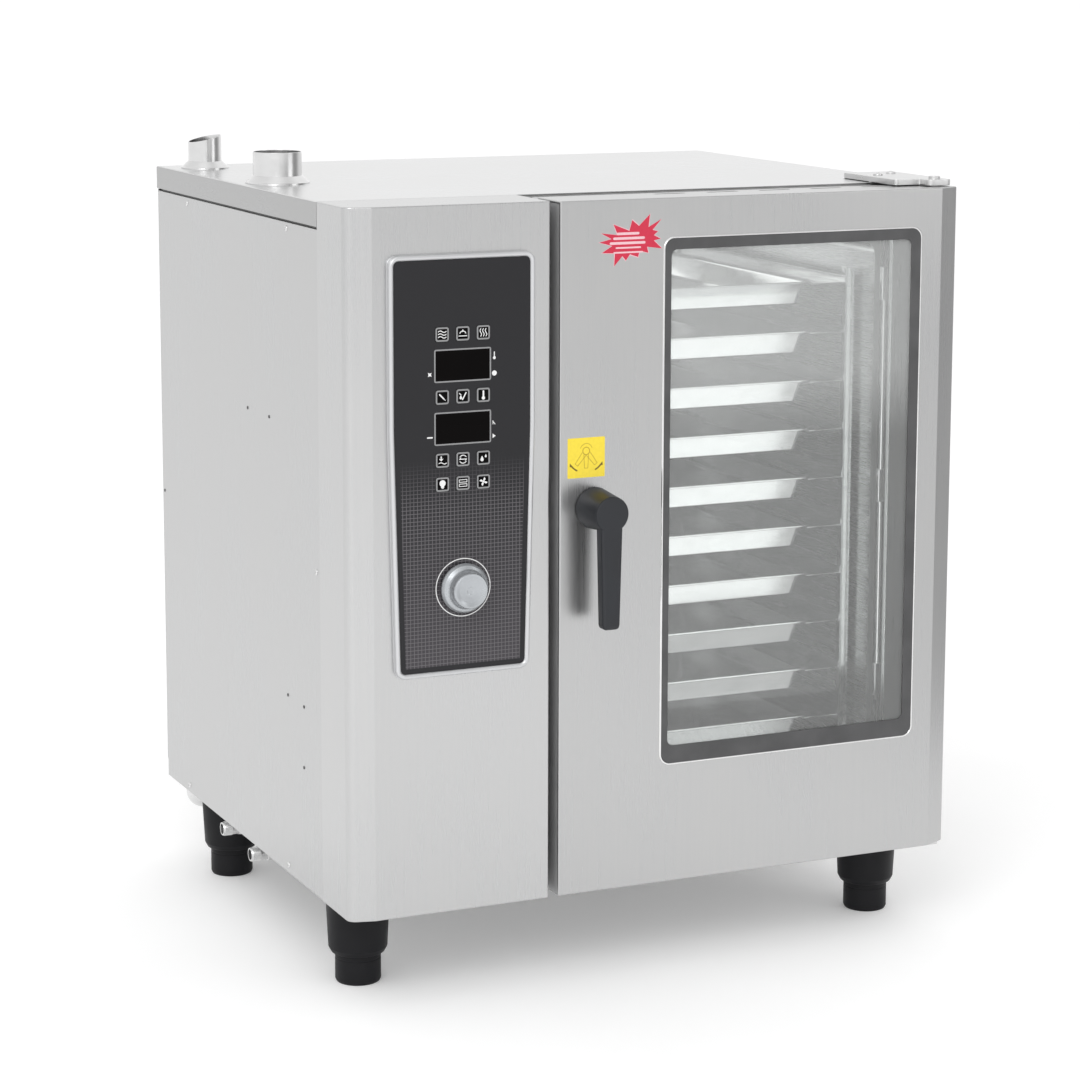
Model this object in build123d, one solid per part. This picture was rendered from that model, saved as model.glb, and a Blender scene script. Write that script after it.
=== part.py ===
from build123d import *
import os
from math import cos, radians, sin

# Combi steamer oven for ten GN 1/1 trays: a stainless cabinet on four levelling feet, with a control
# column on the left of the front and a glazed door, hinged on its right edge, on the rest of it.
#
# Everything is drawn from the cabinet's own corner: x to the right from its left side, y back from the
# door's front face, z up from the underside of the body. save() then moves each piece into the part's
# frame, whose origin is on the floor under the middle of the part.

# ---- driving dimensions, millimetres ----
WIDTH = 910.0
DEPTH = 800.0
HEIGHT = 940.0
FOOT_HEIGHT = 123.0
SHEET = 1.5
SEAM_Y = 108.0
HANDLE_REACH = 58.0
REAR_REACH = 20.0

COLUMN_WIDTH = 283.8
COLUMN_CHAMFER_X = 34.6
COLUMN_CHAMFER_Y = 8.6
COVER_FLANGE = 33.0

DOOR_LEFT = 298.0
DOOR_BOTTOM = 0.5
DOOR_TOP = 939.0
DOOR_REAR = 97.0
DOOR_SKIN_DEPTH = 70.0
DOOR_CHAMFER_X = 32.2
DOOR_CHAMFER_Y = 15.0
HINGE_X = WIDTH - 24.0
HINGE_Y = 36.0
HINGE_PIN_R = 8.0
HINGE_PLATE = 8.0
HINGE_PLATE_LEFT = 828.0
HINGE_SCREWS = ((850.0, 128.0), (884.0, 150.0))
RUNNING_GAP = 0.05

WINDOW = (451.0, 845.0, 167.0, 885.0)
WINDOW_CORNER = 14.0
WINDOW_BAND = (9.5, 15.0, 18.0, 15.0)
INNER_WINDOW = (372.0, 844.0, 140.0, 885.0)

OPENING = (375.0, 833.0, 130.0, 860.0)
FRAME_Y = 106.3
LINER_LEFT = 300.0
CAVITY_REAR = 720.0

FAN_Y = 410.0
FAN_Z = 495.0
FAN_RADIUS = 150.0

TRAY_CENTRE_X = 604.0
TRAY_WIDTH = 325.0
TRAY_LENGTH = 530.0
TRAY_FRONT_Y = 148.0
TRAY_DEPTH = 33.0
TRAY_FLANGE = 12.5
TRAY_CORNER = 24.0
PAN_CORNER = 11.0
TRAY_SHEET = 1.0
TRAY_TAPER = 12.0
TRAY_COUNT = 10
TRAY_PITCH = 70.0
TOP_RIM_Z = 798.0

FASCIA_X = 156.5
FASCIA_TOP = 877.5
FASCIA_BOTTOM = 323.5
FASCIA_HALF_TOP = 102.5
FASCIA_HALF_BOTTOM = 94.5
FASCIA_TAPER_Z = 650.0
FASCIA_CORNER = 14.0
BEZEL_WIDTH = 7.0
BEZEL_REACH = 10.0
BEZEL_LEDGE = 5.0
OVERLAY_FRONT = -7.5
OVERLAY_BACK = -5.5

DISPLAY_SIZE = (78.0, 41.5)
DISPLAY_Z = (733.0, 651.0)
KEY_SIZE = 19.6
KEY_CORNER = 3.5
KEY_GAP = 0.4
KEY_PITCH_X = 28.8
KEY_ROWS_Z = (774.0, 692.3, 609.7, 578.3)
KEY_PROUD = 0.6
KEY_DEPTH = 6.0
KEY_STEM = 4.0
KEY_TRAVEL = 0.5
KEY_NAMES = (
    ("key_hot_air", "key_combi", "key_steam"),
    ("key_core_probe", "key_clean", "key_temperature"),
    ("key_cool_down", "key_half_step", "key_humidity"),
    ("key_light", "key_start_stop", "key_fan_speed"),
)

KNOB_Z = 440.0
KNOB_RADIUS = 33.0
KNOB_FACE_RADIUS = 23.5
KNOB_FRONT = -36.0
KNOB_BACK = -11.0
KNOB_TRAVEL = 1.5
KNOB_SHAFT_R = 3.0
PLUNGER_R = 6.0

HANDLE_X = 348.7
HANDLE_Z = 530.0
BOSS_REAR_R = 28.0
BOSS_FRONT_R = 24.0
LEVER_LENGTH = 155.0
LEVER_HALF_TOP = 16.0
LEVER_HALF_TIP = 12.3
LEVER_THICKNESS = 20.0
SPINDLE_R = 8.0
LATCH_Y = (70.0, 78.0)
LATCH_NOSE = 58.0

FEET = {
    "front_left": (58.0, 129.0),
    "front_right": (WIDTH - 58.0, 129.0),
    "rear_left": (58.0, 665.0),
    "rear_right": (WIDTH - 58.0, 665.0),
}
SLEEVE_TOP_R = 44.0
SLEEVE_BOTTOM_R = 40.0
SLEEVE_HEIGHT = 81.5
INSERT_R = 31.3
INSERT_TOP = -30.0
FOOT_GAP = 0.3

RAIL_WIDTH = 54.0
RAIL_HEIGHT = 30.0
RAIL_FRONT = 112.0
RAIL_REAR = 698.0

FRONT_VENT = (57.0, 419.0)
FRONT_VENT_R = 34.0
FRONT_VENT_HEIGHT = 44.0
REAR_VENT = (53.0, 730.0)
REAR_VENT_R = 24.5
REAR_VENT_HEIGHT = 50.0
REAR_VENT_DROP = 12.0
VENT_SKIRT = 11.0
VENT_BELOW = 60.0

DRAIN_X = 36.0
DRAIN_Y = 733.0
DRAIN_Z = -1.0
DRAIN_SPIGOT_R = 20.0
DRAIN_SPIGOT_Y = DEPTH + 2
DRAIN_TOP = 60.0
BOWL_R = 25.5
BOWL_Z = -11.0
DRAIN_RELIEF = 28.0
INLET_X = 2.0
INLET_R = 10.5
INLET_BORE_R = 7.5
INLETS = ((414.0, -20.5), (540.0, -16.5))
INLET_RISER_X = 98.0
INLET_RISER_R = 12.0

SCREW_R = 2.0
SCREW_HEAD_R = 4.2
SCREW_HEAD = 2.0
SIDE_SCREWS = ((659.0, 895.0), (229.0, 895.0), (690.0, 12.0), (246.0, 12.0), (124.0, 448.0))
REAR_SCREWS = tuple((x, z) for x in (20.0, 275.0, 600.0, 890.0) for z in (70.0, 480.0, 890.0))

PART_ORIGIN = Location((-WIDTH / 2, (HANDLE_REACH - REAR_REACH - DEPTH) / 2, FOOT_HEIGHT))

os.makedirs("parts", exist_ok=True)


# ---- helpers ----
def save(name, *solids):
    """Moves the solids of one node into the part's frame and writes them."""
    node = solids[0] if len(solids) == 1 else Compound(children=list(solids))
    node = PART_ORIGIN * node
    node.label = name
    export_step(node, f"parts/{name}.step")


def block(x, y, z):
    """A box from three (low, high) pairs."""
    size = [high - low for low, high in (x, y, z)]
    centre = [(low + high) / 2 for low, high in (x, y, z)]
    return Pos(*centre) * Box(*size)


def rod(start, direction, length, radius, end_radius=None):
    """A cylinder, or a cone where end_radius differs, from start along direction."""
    plane = Plane(origin=start, z_dir=direction)
    base = (Align.CENTER, Align.CENTER, Align.MIN)
    if end_radius is None:
        return plane * Cylinder(radius, length, align=base)
    return plane * Cone(radius, end_radius, length, align=base)


def front_prism(sketch, y):
    """A sketch drawn in x and z, as seen from the front, made solid between two y values."""
    low, high = y
    plane = Plane(origin=(0, high, 0), x_dir=(1, 0, 0), z_dir=(0, -1, 0))
    return extrude(plane * sketch, amount=high - low)


def plan_prism(sketch, z):
    """A sketch drawn in x and y made solid between two z values."""
    low, high = z
    return extrude(Pos(0, 0, low) * sketch, amount=high - low)


def rounded(rectangle, corner):
    """A rounded rectangle sketch from (left, right, bottom, top)."""
    left, right, bottom, top = rectangle
    centre = Pos((left + right) / 2, (bottom + top) / 2)
    return centre * RectangleRounded(right - left, top - bottom, corner)


def inset(rectangle, by):
    """The rectangle pulled in by one number, or by (left, right, bottom, top)."""
    left, right, bottom, top = rectangle
    a, b, c, d = by if isinstance(by, tuple) else (by, by, by, by)
    return (left + a, right - b, bottom + c, top - d)


def polygon(points):
    return make_face(Polyline(*points, close=True))


# ---- base, feet and connections ----
def make_base_frame():
    """Four welded tubes under the cabinet, with the feet screwed into the side tubes."""
    rails = []
    wall = 2.0
    z = (SHEET, SHEET + RAIL_HEIGHT)
    lefts = [centre - RAIL_WIDTH / 2 for centre in (FEET["front_left"][0], FEET["front_right"][0])]
    for left in lefts:
        tube = block((left, left + RAIL_WIDTH), (RAIL_FRONT, RAIL_REAR), z)
        hollow = block(
            (left + wall, left + RAIL_WIDTH - wall), (RAIL_FRONT, RAIL_REAR), (z[0] + wall, z[1] - wall)
        )
        rails.append(tube - hollow)
    cross_x = (lefts[0] + RAIL_WIDTH, lefts[1])
    for front in (RAIL_FRONT, RAIL_REAR - RAIL_WIDTH):
        tube = block(cross_x, (front, front + RAIL_WIDTH), z)
        hollow = block(cross_x, (front + wall, front + RAIL_WIDTH - wall), (z[0] + wall, z[1] - wall))
        rails.append(tube - hollow)
    bolts = [rod((x, y, 0), (0, 0, 1), z[0] + wall + 1, SCREW_R * 3) for x, y in FEET.values()]
    save("base_frame", *[rail - bolts for rail in rails])


def make_bottom_panel():
    """The closing sheet under the frame, pierced for the feet, the drain and the water inlets."""
    panel = block((2 * SHEET, WIDTH - 2 * SHEET), (SEAM_Y + SHEET, DEPTH - SHEET), (0, SHEET))
    for x, y in FEET.values():
        panel -= rod((x, y, -1), (0, 0, 1), 4, SCREW_R * 3)
    for y, _ in INLETS:
        panel -= rod((INLET_RISER_X, y, -1), (0, 0, 1), 4, INLET_RISER_R + 0.5)
    panel -= block((0, DRAIN_X + DRAIN_RELIEF), (DRAIN_Y - DRAIN_RELIEF, DEPTH), (-1, 3))
    save("bottom_panel", panel)


def make_feet():
    """Plastic sleeves screwed to the frame, and the inserts that slide down out of them to level."""
    sleeves = []
    spigot_r = SCREW_R * 3 - 0.2
    for name, (x, y) in FEET.items():
        sleeve = rod((x, y, 0), (0, 0, -1), SLEEVE_HEIGHT, SLEEVE_TOP_R, SLEEVE_BOTTOM_R)
        rim = sleeve.edges().group_by(Axis.Z)[0]
        sleeve = chamfer(rim, 3)
        sleeve -= rod((x, y, -8), (0, 0, -1), SLEEVE_HEIGHT, INSERT_R + FOOT_GAP)
        sleeve += rod((x, y, -1), (0, 0, 1), SHEET + 4, spigot_r)
        sleeves.append(sleeve)
        insert = rod((x, y, -FOOT_HEIGHT), (0, 0, 1), FOOT_HEIGHT + INSERT_TOP, INSERT_R)
        insert = fillet(insert.edges().group_by(Axis.Z)[0], 3)
        save(f"foot_insert_{name}", insert)
    save("foot_sleeves", *sleeves)


def make_drain_pipe():
    """The waste pipe: down from the cavity into a round trap bowl, and out at the back over its rim."""
    wall = 1.5

    def run(thinner, over):
        pipe_r = DRAIN_SPIGOT_R + 1 - thinner
        pipe = rod((DRAIN_X, DRAIN_Y, DRAIN_Z), (0, 1, 0), DRAIN_SPIGOT_Y - DRAIN_Y, pipe_r)
        pipe += rod((DRAIN_X, DRAIN_Y, BOWL_Z), (0, 0, 1), DRAIN_TOP - BOWL_Z + over, pipe_r)
        spigot = DEPTH + REAR_REACH - DRAIN_SPIGOT_Y + over
        pipe += rod((DRAIN_X, DRAIN_SPIGOT_Y, DRAIN_Z), (0, 1, 0), spigot, DRAIN_SPIGOT_R - thinner)
        return pipe + Pos(DRAIN_X, DRAIN_Y, BOWL_Z) * Sphere(BOWL_R - thinner)

    save("drain_pipe", run(0, 0) - run(wall, 1))


def make_water_inlets():
    """Two threaded water connections with their valves, facing the left side under the body."""
    nut_x = (26.0, 34.0)
    body_x = (32.0, 112.0)
    body_half = 12.0
    bore_depth = 13.0
    valves = []
    for y, z in INLETS:
        valve = rod((INLET_X, y, z), (1, 0, 0), nut_x[0] - INLET_X, INLET_R)
        valve += front_turned_hexagon(*nut_x, y, z, INLET_R + 2)
        valve += block(body_x, (y - body_half, y + body_half), (z - INLET_R + 1, -SHEET))
        valve += rod((INLET_RISER_X, y, -SHEET), (0, 0, 1), DRAIN_TOP, INLET_RISER_R)
        valve -= rod((INLET_X - 1, y, z), (1, 0, 0), bore_depth + 1, INLET_BORE_R)
        valves.append(valve)
    save("water_inlets", *valves)


def front_turned_hexagon(x_low, x_high, y, z, radius):
    """A hexagonal nut on an axis along x, with flats above and below."""
    plane = Plane(origin=(x_low, y, z), x_dir=(0, 1, 0), z_dir=(1, 0, 0))
    return extrude(plane * RegularPolygon(radius / cos(radians(30)) * 0.93, 6), amount=x_high - x_low)


def make_cable_gland():
    """The compression gland where the supply cable enters the back."""
    gland_x, gland_z, bore = 100.0, 90.0, 7.0
    gland = rod((gland_x, DEPTH - 14, gland_z), (0, 1, 0), 14, 12)
    gland += rod((gland_x, DEPTH, gland_z), (0, 1, 0), 8, 17)
    gland += rod((gland_x, DEPTH + 8, gland_z), (0, 1, 0), REAR_REACH - 8, 15, 11)
    gland -= rod((gland_x, DEPTH - 20, gland_z), (0, 1, 0), 60, bore)
    save("cable_gland", gland)


# ---- cabinet covers ----
def make_side_panels():
    flange = 14.0
    for name, outer, inward in (("left_side_panel", SHEET, 1), ("right_side_panel", WIDTH - SHEET, -1)):
        inner = outer + inward * SHEET
        lip = outer + inward * flange
        top = HEIGHT - COVER_FLANGE + 8
        panel = block(sorted((outer, inner)), (SEAM_Y, DEPTH - SHEET), (0, top))
        for y in ((SEAM_Y, SEAM_Y + SHEET), (DEPTH - 2 * SHEET, DEPTH - SHEET)):
            panel += block(sorted((outer, lip)), y, (RAIL_HEIGHT, top))
        for y, z in SIDE_SCREWS:
            panel -= rod((outer - inward, y, z), (inward, 0, 0), 4, SCREW_R + 0.1)
        save(name, panel)


def make_rear_panel():
    """The back sheet, with louvre slots over the electrical side and cut-outs for drain and gland."""
    panel = block((SHEET, WIDTH - SHEET), (DEPTH - SHEET, DEPTH), (0, HEIGHT - COVER_FLANGE + 8))
    for row in range(12):
        z = 600.0 + row * 20
        panel -= front_prism(Pos(150, z) * SlotOverall(170, 7), (DEPTH - 5, DEPTH + 1))
    for x, z in REAR_SCREWS:
        panel -= rod((x, DEPTH - 5, z), (0, 1, 0), 8, SCREW_R + 0.1)
    panel -= rod((100, DEPTH - 5, 90), (0, 1, 0), 8, 12.2)
    panel -= block((0, DRAIN_X + DRAIN_RELIEF), (DEPTH - 5, DEPTH + 1), (-1, DRAIN_Z + DRAIN_RELIEF))
    save("rear_panel", panel)


def make_top_cover():
    """The lid, folded down at the sides and back, notched at the front right for the upper hinge."""
    lid = block((0, WIDTH), (SEAM_Y, DEPTH), (HEIGHT - COVER_FLANGE, HEIGHT))
    lid -= block((SHEET, WIDTH - SHEET), (SEAM_Y - 1, DEPTH - SHEET), (0, HEIGHT - SHEET))
    lid -= rear_wall_relief()
    notch_x = (HINGE_PLATE_LEFT - 2, WIDTH + 1)
    lid -= block(notch_x, (0, SEAM_Y + 80), (HEIGHT - SHEET - 1, HEIGHT + 1))
    for (x, y), radius in ((FRONT_VENT, FRONT_VENT_R), (REAR_VENT, REAR_VENT_R)):
        lid -= rod((x, y, HEIGHT - 10), (0, 0, 1), 20, radius + 0.1)
    save("top_cover", lid)


def rear_wall_relief():
    """Room for the top of the rear panel, which the lid's rear fold covers from above only."""
    return block((SHEET, WIDTH - SHEET), (DEPTH - SHEET, DEPTH + 1), (0, HEIGHT - COVER_FLANGE + 8))


def column_outline(by):
    """The control column in plan, offset inward by a sheet where by isn't zero."""
    chamfer_slope = COLUMN_CHAMFER_Y / COLUMN_CHAMFER_X
    return polygon(
        [
            (by, SEAM_Y - 1 if by == 0 else SEAM_Y),
            (by, COLUMN_CHAMFER_Y + by * (1 - chamfer_slope / 2)),
            (COLUMN_CHAMFER_X, by),
            (COLUMN_WIDTH - by, by),
            (COLUMN_WIDTH - by, SEAM_Y - 1 if by == 0 else SEAM_Y),
        ]
    )


def make_column_cover():
    """The folded cover of the control column, open at the back and cut out behind the fascia."""
    cover = plan_prism(column_outline(0), (0, HEIGHT))
    cover -= plan_prism(column_outline(SHEET), (SHEET, HEIGHT - SHEET))
    window = (FASCIA_X - 60, FASCIA_X + 60, KNOB_Z - 40, FASCIA_TOP - 25)
    cover -= front_prism(rounded(window, 6), (-1, SHEET + 1))
    save("column_cover", cover)


def make_cover_screws():
    """The visible sheet-metal screws: five on each side panel and twelve on the back."""
    screws = []
    for outer, inward in ((SHEET, 1), (WIDTH - SHEET, -1)):
        for y, z in SIDE_SCREWS:
            head = rod((outer, y, z), (-inward, 0, 0), SCREW_HEAD, SCREW_HEAD_R, SCREW_HEAD_R - 1)
            screws.append(head + rod((outer, y, z), (inward, 0, 0), 8, SCREW_R))
    for x, z in REAR_SCREWS:
        head = rod((x, DEPTH, z), (0, 1, 0), SCREW_HEAD, SCREW_HEAD_R, SCREW_HEAD_R - 1)
        screws.append(head + rod((x, DEPTH, z), (0, -1, 0), 8, SCREW_R))
    save("cover_screws", *screws)


def make_vent_pipes():
    """Two exhaust pipes on the lid, each with a flared skirt; the rear one is cut at a slant."""
    wall = 1.5
    pipes = []
    for (x, y), radius, height in (
        (FRONT_VENT, FRONT_VENT_R, FRONT_VENT_HEIGHT),
        (REAR_VENT, REAR_VENT_R, REAR_VENT_HEIGHT),
    ):
        bottom = HEIGHT - VENT_BELOW
        pipe = rod((x, y, bottom), (0, 0, 1), VENT_BELOW + height, radius)
        pipe += rod((x, y, HEIGHT), (0, 0, 1), VENT_SKIRT, radius + VENT_SKIRT, radius)
        pipe -= rod((x, y, bottom - 1), (0, 0, 1), VENT_BELOW + height + 2, radius - wall)
        pipes.append(pipe)
    x, y = REAR_VENT
    top = HEIGHT + REAR_VENT_HEIGHT
    wedge = polygon(
        [
            (x - REAR_VENT_R - 1, top - REAR_VENT_DROP),
            (x + REAR_VENT_R + 1, top),
            (x - REAR_VENT_R - 1, top + 1),
        ]
    )
    pipes[1] -= front_prism(wedge, (y - REAR_VENT_R - 1, y + REAR_VENT_R + 1))
    save("vent_pipes", *pipes)


# ---- door hinges and cabinet front ----
def make_hinge_brackets():
    """Steel arms fixed to the cabinet, each with a welded pin that the door turns on."""
    ear_x = (HINGE_X - 18, WIDTH - 4)
    ear_front = HINGE_Y - 16
    plate_z = (DOOR_TOP + 1.5, DOOR_TOP + HINGE_PLATE + 1.5)
    upper = block((HINGE_PLATE_LEFT, WIDTH - 4), (HINGE_Y + 8, SEAM_Y + 78), plate_z)
    upper += block(ear_x, (ear_front, HINGE_Y + 8), plate_z)
    upper = fillet(upper.edges().filter_by(Axis.Z).group_by(Axis.Y)[0], 10)
    upper += block((HINGE_PLATE_LEFT, WIDTH - 4), (SEAM_Y + 2, SEAM_Y + 8), (DOOR_TOP - 40, plate_z[0]))
    upper += rod((HINGE_X, HINGE_Y, plate_z[1] + 3), (0, 0, -1), 35, HINGE_PIN_R)
    for x, y in HINGE_SCREWS:
        upper += rod((x, y, plate_z[1]), (0, 0, 1), 4, 7, 5)
    save("hinge_bracket_upper", upper)

    arm_z = (DOOR_BOTTOM - 6.5, DOOR_BOTTOM - 2)
    arm_x = (WIDTH - 11.5, WIDTH - 4)
    arm_rear = 200.0
    lower = block((HINGE_X - 30, WIDTH - 4), (ear_front, HINGE_Y + 46), arm_z)
    lower += block(arm_x, (ear_front, arm_rear), arm_z)
    lower += block(arm_x, (SEAM_Y + 4, arm_rear), (arm_z[1], 0))
    lower += rod((HINGE_X, HINGE_Y, arm_z[0]), (0, 0, 1), 31, HINGE_PIN_R)
    save("hinge_bracket_lower", lower)


def make_front_frame():
    """Four sheets that face the door around the cavity's opening."""
    left, right, bottom, top = OPENING
    y = (FRAME_Y, FRAME_Y + SHEET)
    outer_left = COLUMN_WIDTH + 1
    outer_right = WIDTH - SHEET
    frame_top = HEIGHT - SHEET
    save(
        "front_frame",
        block((outer_left, left), y, (0, frame_top)),
        block((right, outer_right), y, (0, frame_top)),
        block((left, right), y, (0, bottom)),
        block((left, right), y, (top, frame_top)),
    )


def make_door_seal():
    """The rubber ring that the closed door presses on."""
    outer = inset(OPENING, -23)
    ring = front_prism(rounded(outer, 26) - rounded(inset(outer, 14), 12), (DOOR_REAR + 1, FRAME_Y))
    save("door_seal", ring)


def make_door_keeper():
    """The catch plate on the column's side that the latch nose swings down to."""
    z = (HANDLE_Z - 45, HANDLE_Z + 45)
    keeper = block((COLUMN_WIDTH, COLUMN_WIDTH + 2), (LATCH_Y[0] - 22, LATCH_Y[1] + 14), z)
    keeper += block((COLUMN_WIDTH, COLUMN_WIDTH + 3), (LATCH_Y[0] - 8, LATCH_Y[0] - 3), z)
    save("door_keeper", keeper)


# ---- cavity ----
def make_cavity_liner():
    """The welded inner box: two sides, roof, floor and back."""
    _, right, bottom, top = OPENING
    y = (FRAME_Y + SHEET, CAVITY_REAR)
    z = (bottom - SHEET, top + SHEET)
    left_wall = block((LINER_LEFT, LINER_LEFT + SHEET), y, z)
    left_wall -= rod((LINER_LEFT - 1, FAN_Y, FAN_Z), (1, 0, 0), 4, 14)
    save(
        "cavity_liner",
        left_wall,
        block((right, right + SHEET), y, z),
        block((LINER_LEFT + SHEET, right), y, (top, top + SHEET)),
        block((LINER_LEFT + SHEET, right), y, (bottom - SHEET, bottom)),
        block((LINER_LEFT, right + SHEET), (CAVITY_REAR, CAVITY_REAR + SHEET), z),
    )


def make_insulation():
    """Mineral wool slabs around the liner, with a hole for the fan motor."""
    _, right, bottom, top = OPENING
    gap = 1.0
    y = (SEAM_Y + 8, CAVITY_REAR)
    left_slab = block((LINER_LEFT - 17, LINER_LEFT - gap), y, (bottom - 60, top + 40))
    left_slab -= rod((LINER_LEFT - 20, FAN_Y, FAN_Z), (1, 0, 0), 30, 72)
    save(
        "insulation",
        left_slab,
        block((right + SHEET + gap, WIDTH - 20), y, (bottom - 60, top + 36)),
        block((LINER_LEFT, right + SHEET), y, (top + SHEET + gap, top + 40)),
        block((LINER_LEFT, right + SHEET), y, (bottom - 60, bottom - SHEET - gap)),
        block((LINER_LEFT, right + SHEET), (CAVITY_REAR + SHEET + gap, CAVITY_REAR + 40), (bottom, top)),
    )


def make_air_baffle():
    """The sheet between the fan and the trays, with a grille of slots where the fan draws air."""
    left = OPENING[0] - SHEET
    baffle = block((left, OPENING[0]), (SEAM_Y + 4, CAVITY_REAR - 20), (OPENING[2] + 20, OPENING[3] - 20))
    slot_pitch, slot_width, grille_r = 16.0, 9.0, 112.0
    plane = Plane(origin=(left - 1, FAN_Y, FAN_Z), x_dir=(0, 1, 0), z_dir=(1, 0, 0))
    for row in range(-6, 7):
        offset = row * slot_pitch
        length = 2 * (grille_r**2 - offset**2) ** 0.5
        baffle -= extrude(plane * Pos(0, offset) * SlotOverall(length, slot_width), amount=SHEET + 2)
    save("air_baffle", baffle)


def make_fan():
    """The circulation motor in the electrical side, and the wheel it turns inside the liner."""
    motor_x, motor_r, shaft_r = 160.0, 62.0, 10.0
    motor = rod((motor_x, FAN_Y, FAN_Z), (1, 0, 0), LINER_LEFT - 1 - motor_x, motor_r)
    motor = fillet(motor.edges().group_by(Axis.X)[0], 10)
    motor += rod((LINER_LEFT - 5, FAN_Y, FAN_Z), (1, 0, 0), 4, motor_r + 8)
    motor -= rod((motor_x + 20, FAN_Y, FAN_Z), (1, 0, 0), 150, shaft_r + RUNNING_GAP)
    save("fan_motor", motor)

    disc_x, blade_width, blades = 316.0, 40.0, 20
    wheel = rod((motor_x + 25, FAN_Y, FAN_Z), (1, 0, 0), disc_x + 20 - motor_x - 25, shaft_r)
    wheel += rod((disc_x - 2, FAN_Y, FAN_Z), (1, 0, 0), 22, 22)
    wheel += rod((disc_x, FAN_Y, FAN_Z), (1, 0, 0), 1.5, FAN_RADIUS)
    blade = block((disc_x + 1, disc_x + 1.5 + blade_width), (-0.75, 0.75), (95, FAN_RADIUS - 0.5))
    for i in range(blades):
        wheel += Pos(0, FAN_Y, FAN_Z) * Rot(360 / blades * i, 0, 0) * blade
    ring_x = disc_x + blade_width + 1
    ring = rod((ring_x, FAN_Y, FAN_Z), (1, 0, 0), 1.5, FAN_RADIUS)
    ring -= rod((ring_x - 1, FAN_Y, FAN_Z), (1, 0, 0), 4, 120)
    save("fan_wheel", wheel + ring)


def make_heating_elements():
    """Three ring heaters around the fan, each with two leads back through the liner's wall."""
    ring_r, tube_r, open_angle = 178.0, 4.25, 16.0
    rings = []
    for x in (320.0, 336.0, 352.0):
        plane = Plane(origin=(x, FAN_Y, FAN_Z), x_dir=(0, 1, 0), z_dir=(1, 0, 0))
        ring = plane * Rot(0, 0, open_angle / 2) * Torus(ring_r, tube_r, major_angle=360 - open_angle)
        for side in (-1, 1):
            turn = radians(side * open_angle / 2)
            end = (x, FAN_Y + ring_r * cos(turn), FAN_Z + ring_r * sin(turn))
            ring += Pos(*end) * Sphere(tube_r)
            ring += rod(end, (-1, 0, 0), x - LINER_LEFT - SHEET, tube_r)
        rings.append(ring)
    save("heating_elements", *rings)


def rim_heights():
    return [TOP_RIM_Z - TRAY_PITCH * i for i in range(TRAY_COUNT)]


def make_tray_racks():
    """The two hang-in racks: front and rear posts with a flat rail under each tray's edge."""
    post, rail_sheet = 14.0, 2.0
    posts_y = (TRAY_FRONT_Y + 2, TRAY_FRONT_Y + TRAY_LENGTH - 28)
    for name, side in (("rack_left", -1), ("rack_right", 1)):
        rail = [TRAY_CENTRE_X + side * reach for reach in (TRAY_WIDTH / 2 - 10.5, 208.0)]
        post_x = [TRAY_CENTRE_X + side * reach for reach in (208.0, 208.0 + post)]
        members = [
            block(sorted(post_x), (y, y + 12), (OPENING[2] + 10, TOP_RIM_Z + 20)) for y in posts_y
        ]
        for rim in rim_heights():
            top = rim - TRAY_SHEET
            members.append(block(sorted(rail), (posts_y[0], posts_y[1] + 12), (top - rail_sheet, top)))
        save(name, *members)


def make_gn_trays():
    """Ten pressed trays, 325 by 530, hung by their flanges."""
    flange = plan_prism(RectangleRounded(TRAY_WIDTH, TRAY_LENGTH, TRAY_CORNER), (-TRAY_SHEET, 0))
    pan = RectangleRounded(TRAY_WIDTH - 2 * TRAY_FLANGE, TRAY_LENGTH - 2 * TRAY_FLANGE, PAN_CORNER)
    down = (0, 0, -1)
    outer = extrude(pan, amount=TRAY_DEPTH, dir=down, taper=TRAY_TAPER)
    hollow = extrude(offset(pan, -TRAY_SHEET), amount=TRAY_DEPTH - TRAY_SHEET, dir=down, taper=TRAY_TAPER)
    tray = flange + outer - hollow
    centre_y = TRAY_FRONT_Y + TRAY_LENGTH / 2
    save("gn_trays", *[Pos(TRAY_CENTRE_X, centre_y, rim) * tray for rim in rim_heights()])


def make_cavity_lamp():
    """The lamp glass and holder on the cavity's back wall, above the top tray."""
    centre = (TRAY_CENTRE_X, CAVITY_REAR, 832.0)
    lamp = rod(centre, (0, -1, 0), 14, 24, 19)
    lamp = fillet(lamp.edges().group_by(Axis.Y)[0], 4)
    save("cavity_lamp", lamp)


# ---- electrical side ----
def make_control_board():
    """The circuit board behind the fascia, with two display modules and a switch behind each key."""
    front = 12.0
    switch_front = OVERLAY_FRONT - KEY_PROUD + KEY_DEPTH + KEY_STEM + KEY_TRAVEL + 0.2
    board = block((FASCIA_X - 56, FASCIA_X + 56), (front, front + 1.6), (KNOB_Z - 30, FASCIA_TOP - 30))
    width, height = DISPLAY_SIZE
    half_width, half_height = width / 2 - 2, height / 2 - 2
    for z in DISPLAY_Z:
        module_x = (FASCIA_X - half_width, FASCIA_X + half_width)
        board += block(module_x, (OVERLAY_BACK + 0.2, front), (z - half_height, z + half_height))
    for _, x, z in keys():
        board += rod((x, switch_front, z), (0, 1, 0), front - switch_front, 3.5)
    board -= rod((FASCIA_X, front - 2, KNOB_Z), (0, 1, 0), 6, 9)
    save("control_board", board)


def make_contactors():
    """Three power contactors on the mounting rail inside the left side."""
    units = [block((20, 95), (200 + 55 * i, 250 + 55 * i), (480, 560)) for i in range(3)]
    save("contactors", *units)


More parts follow.
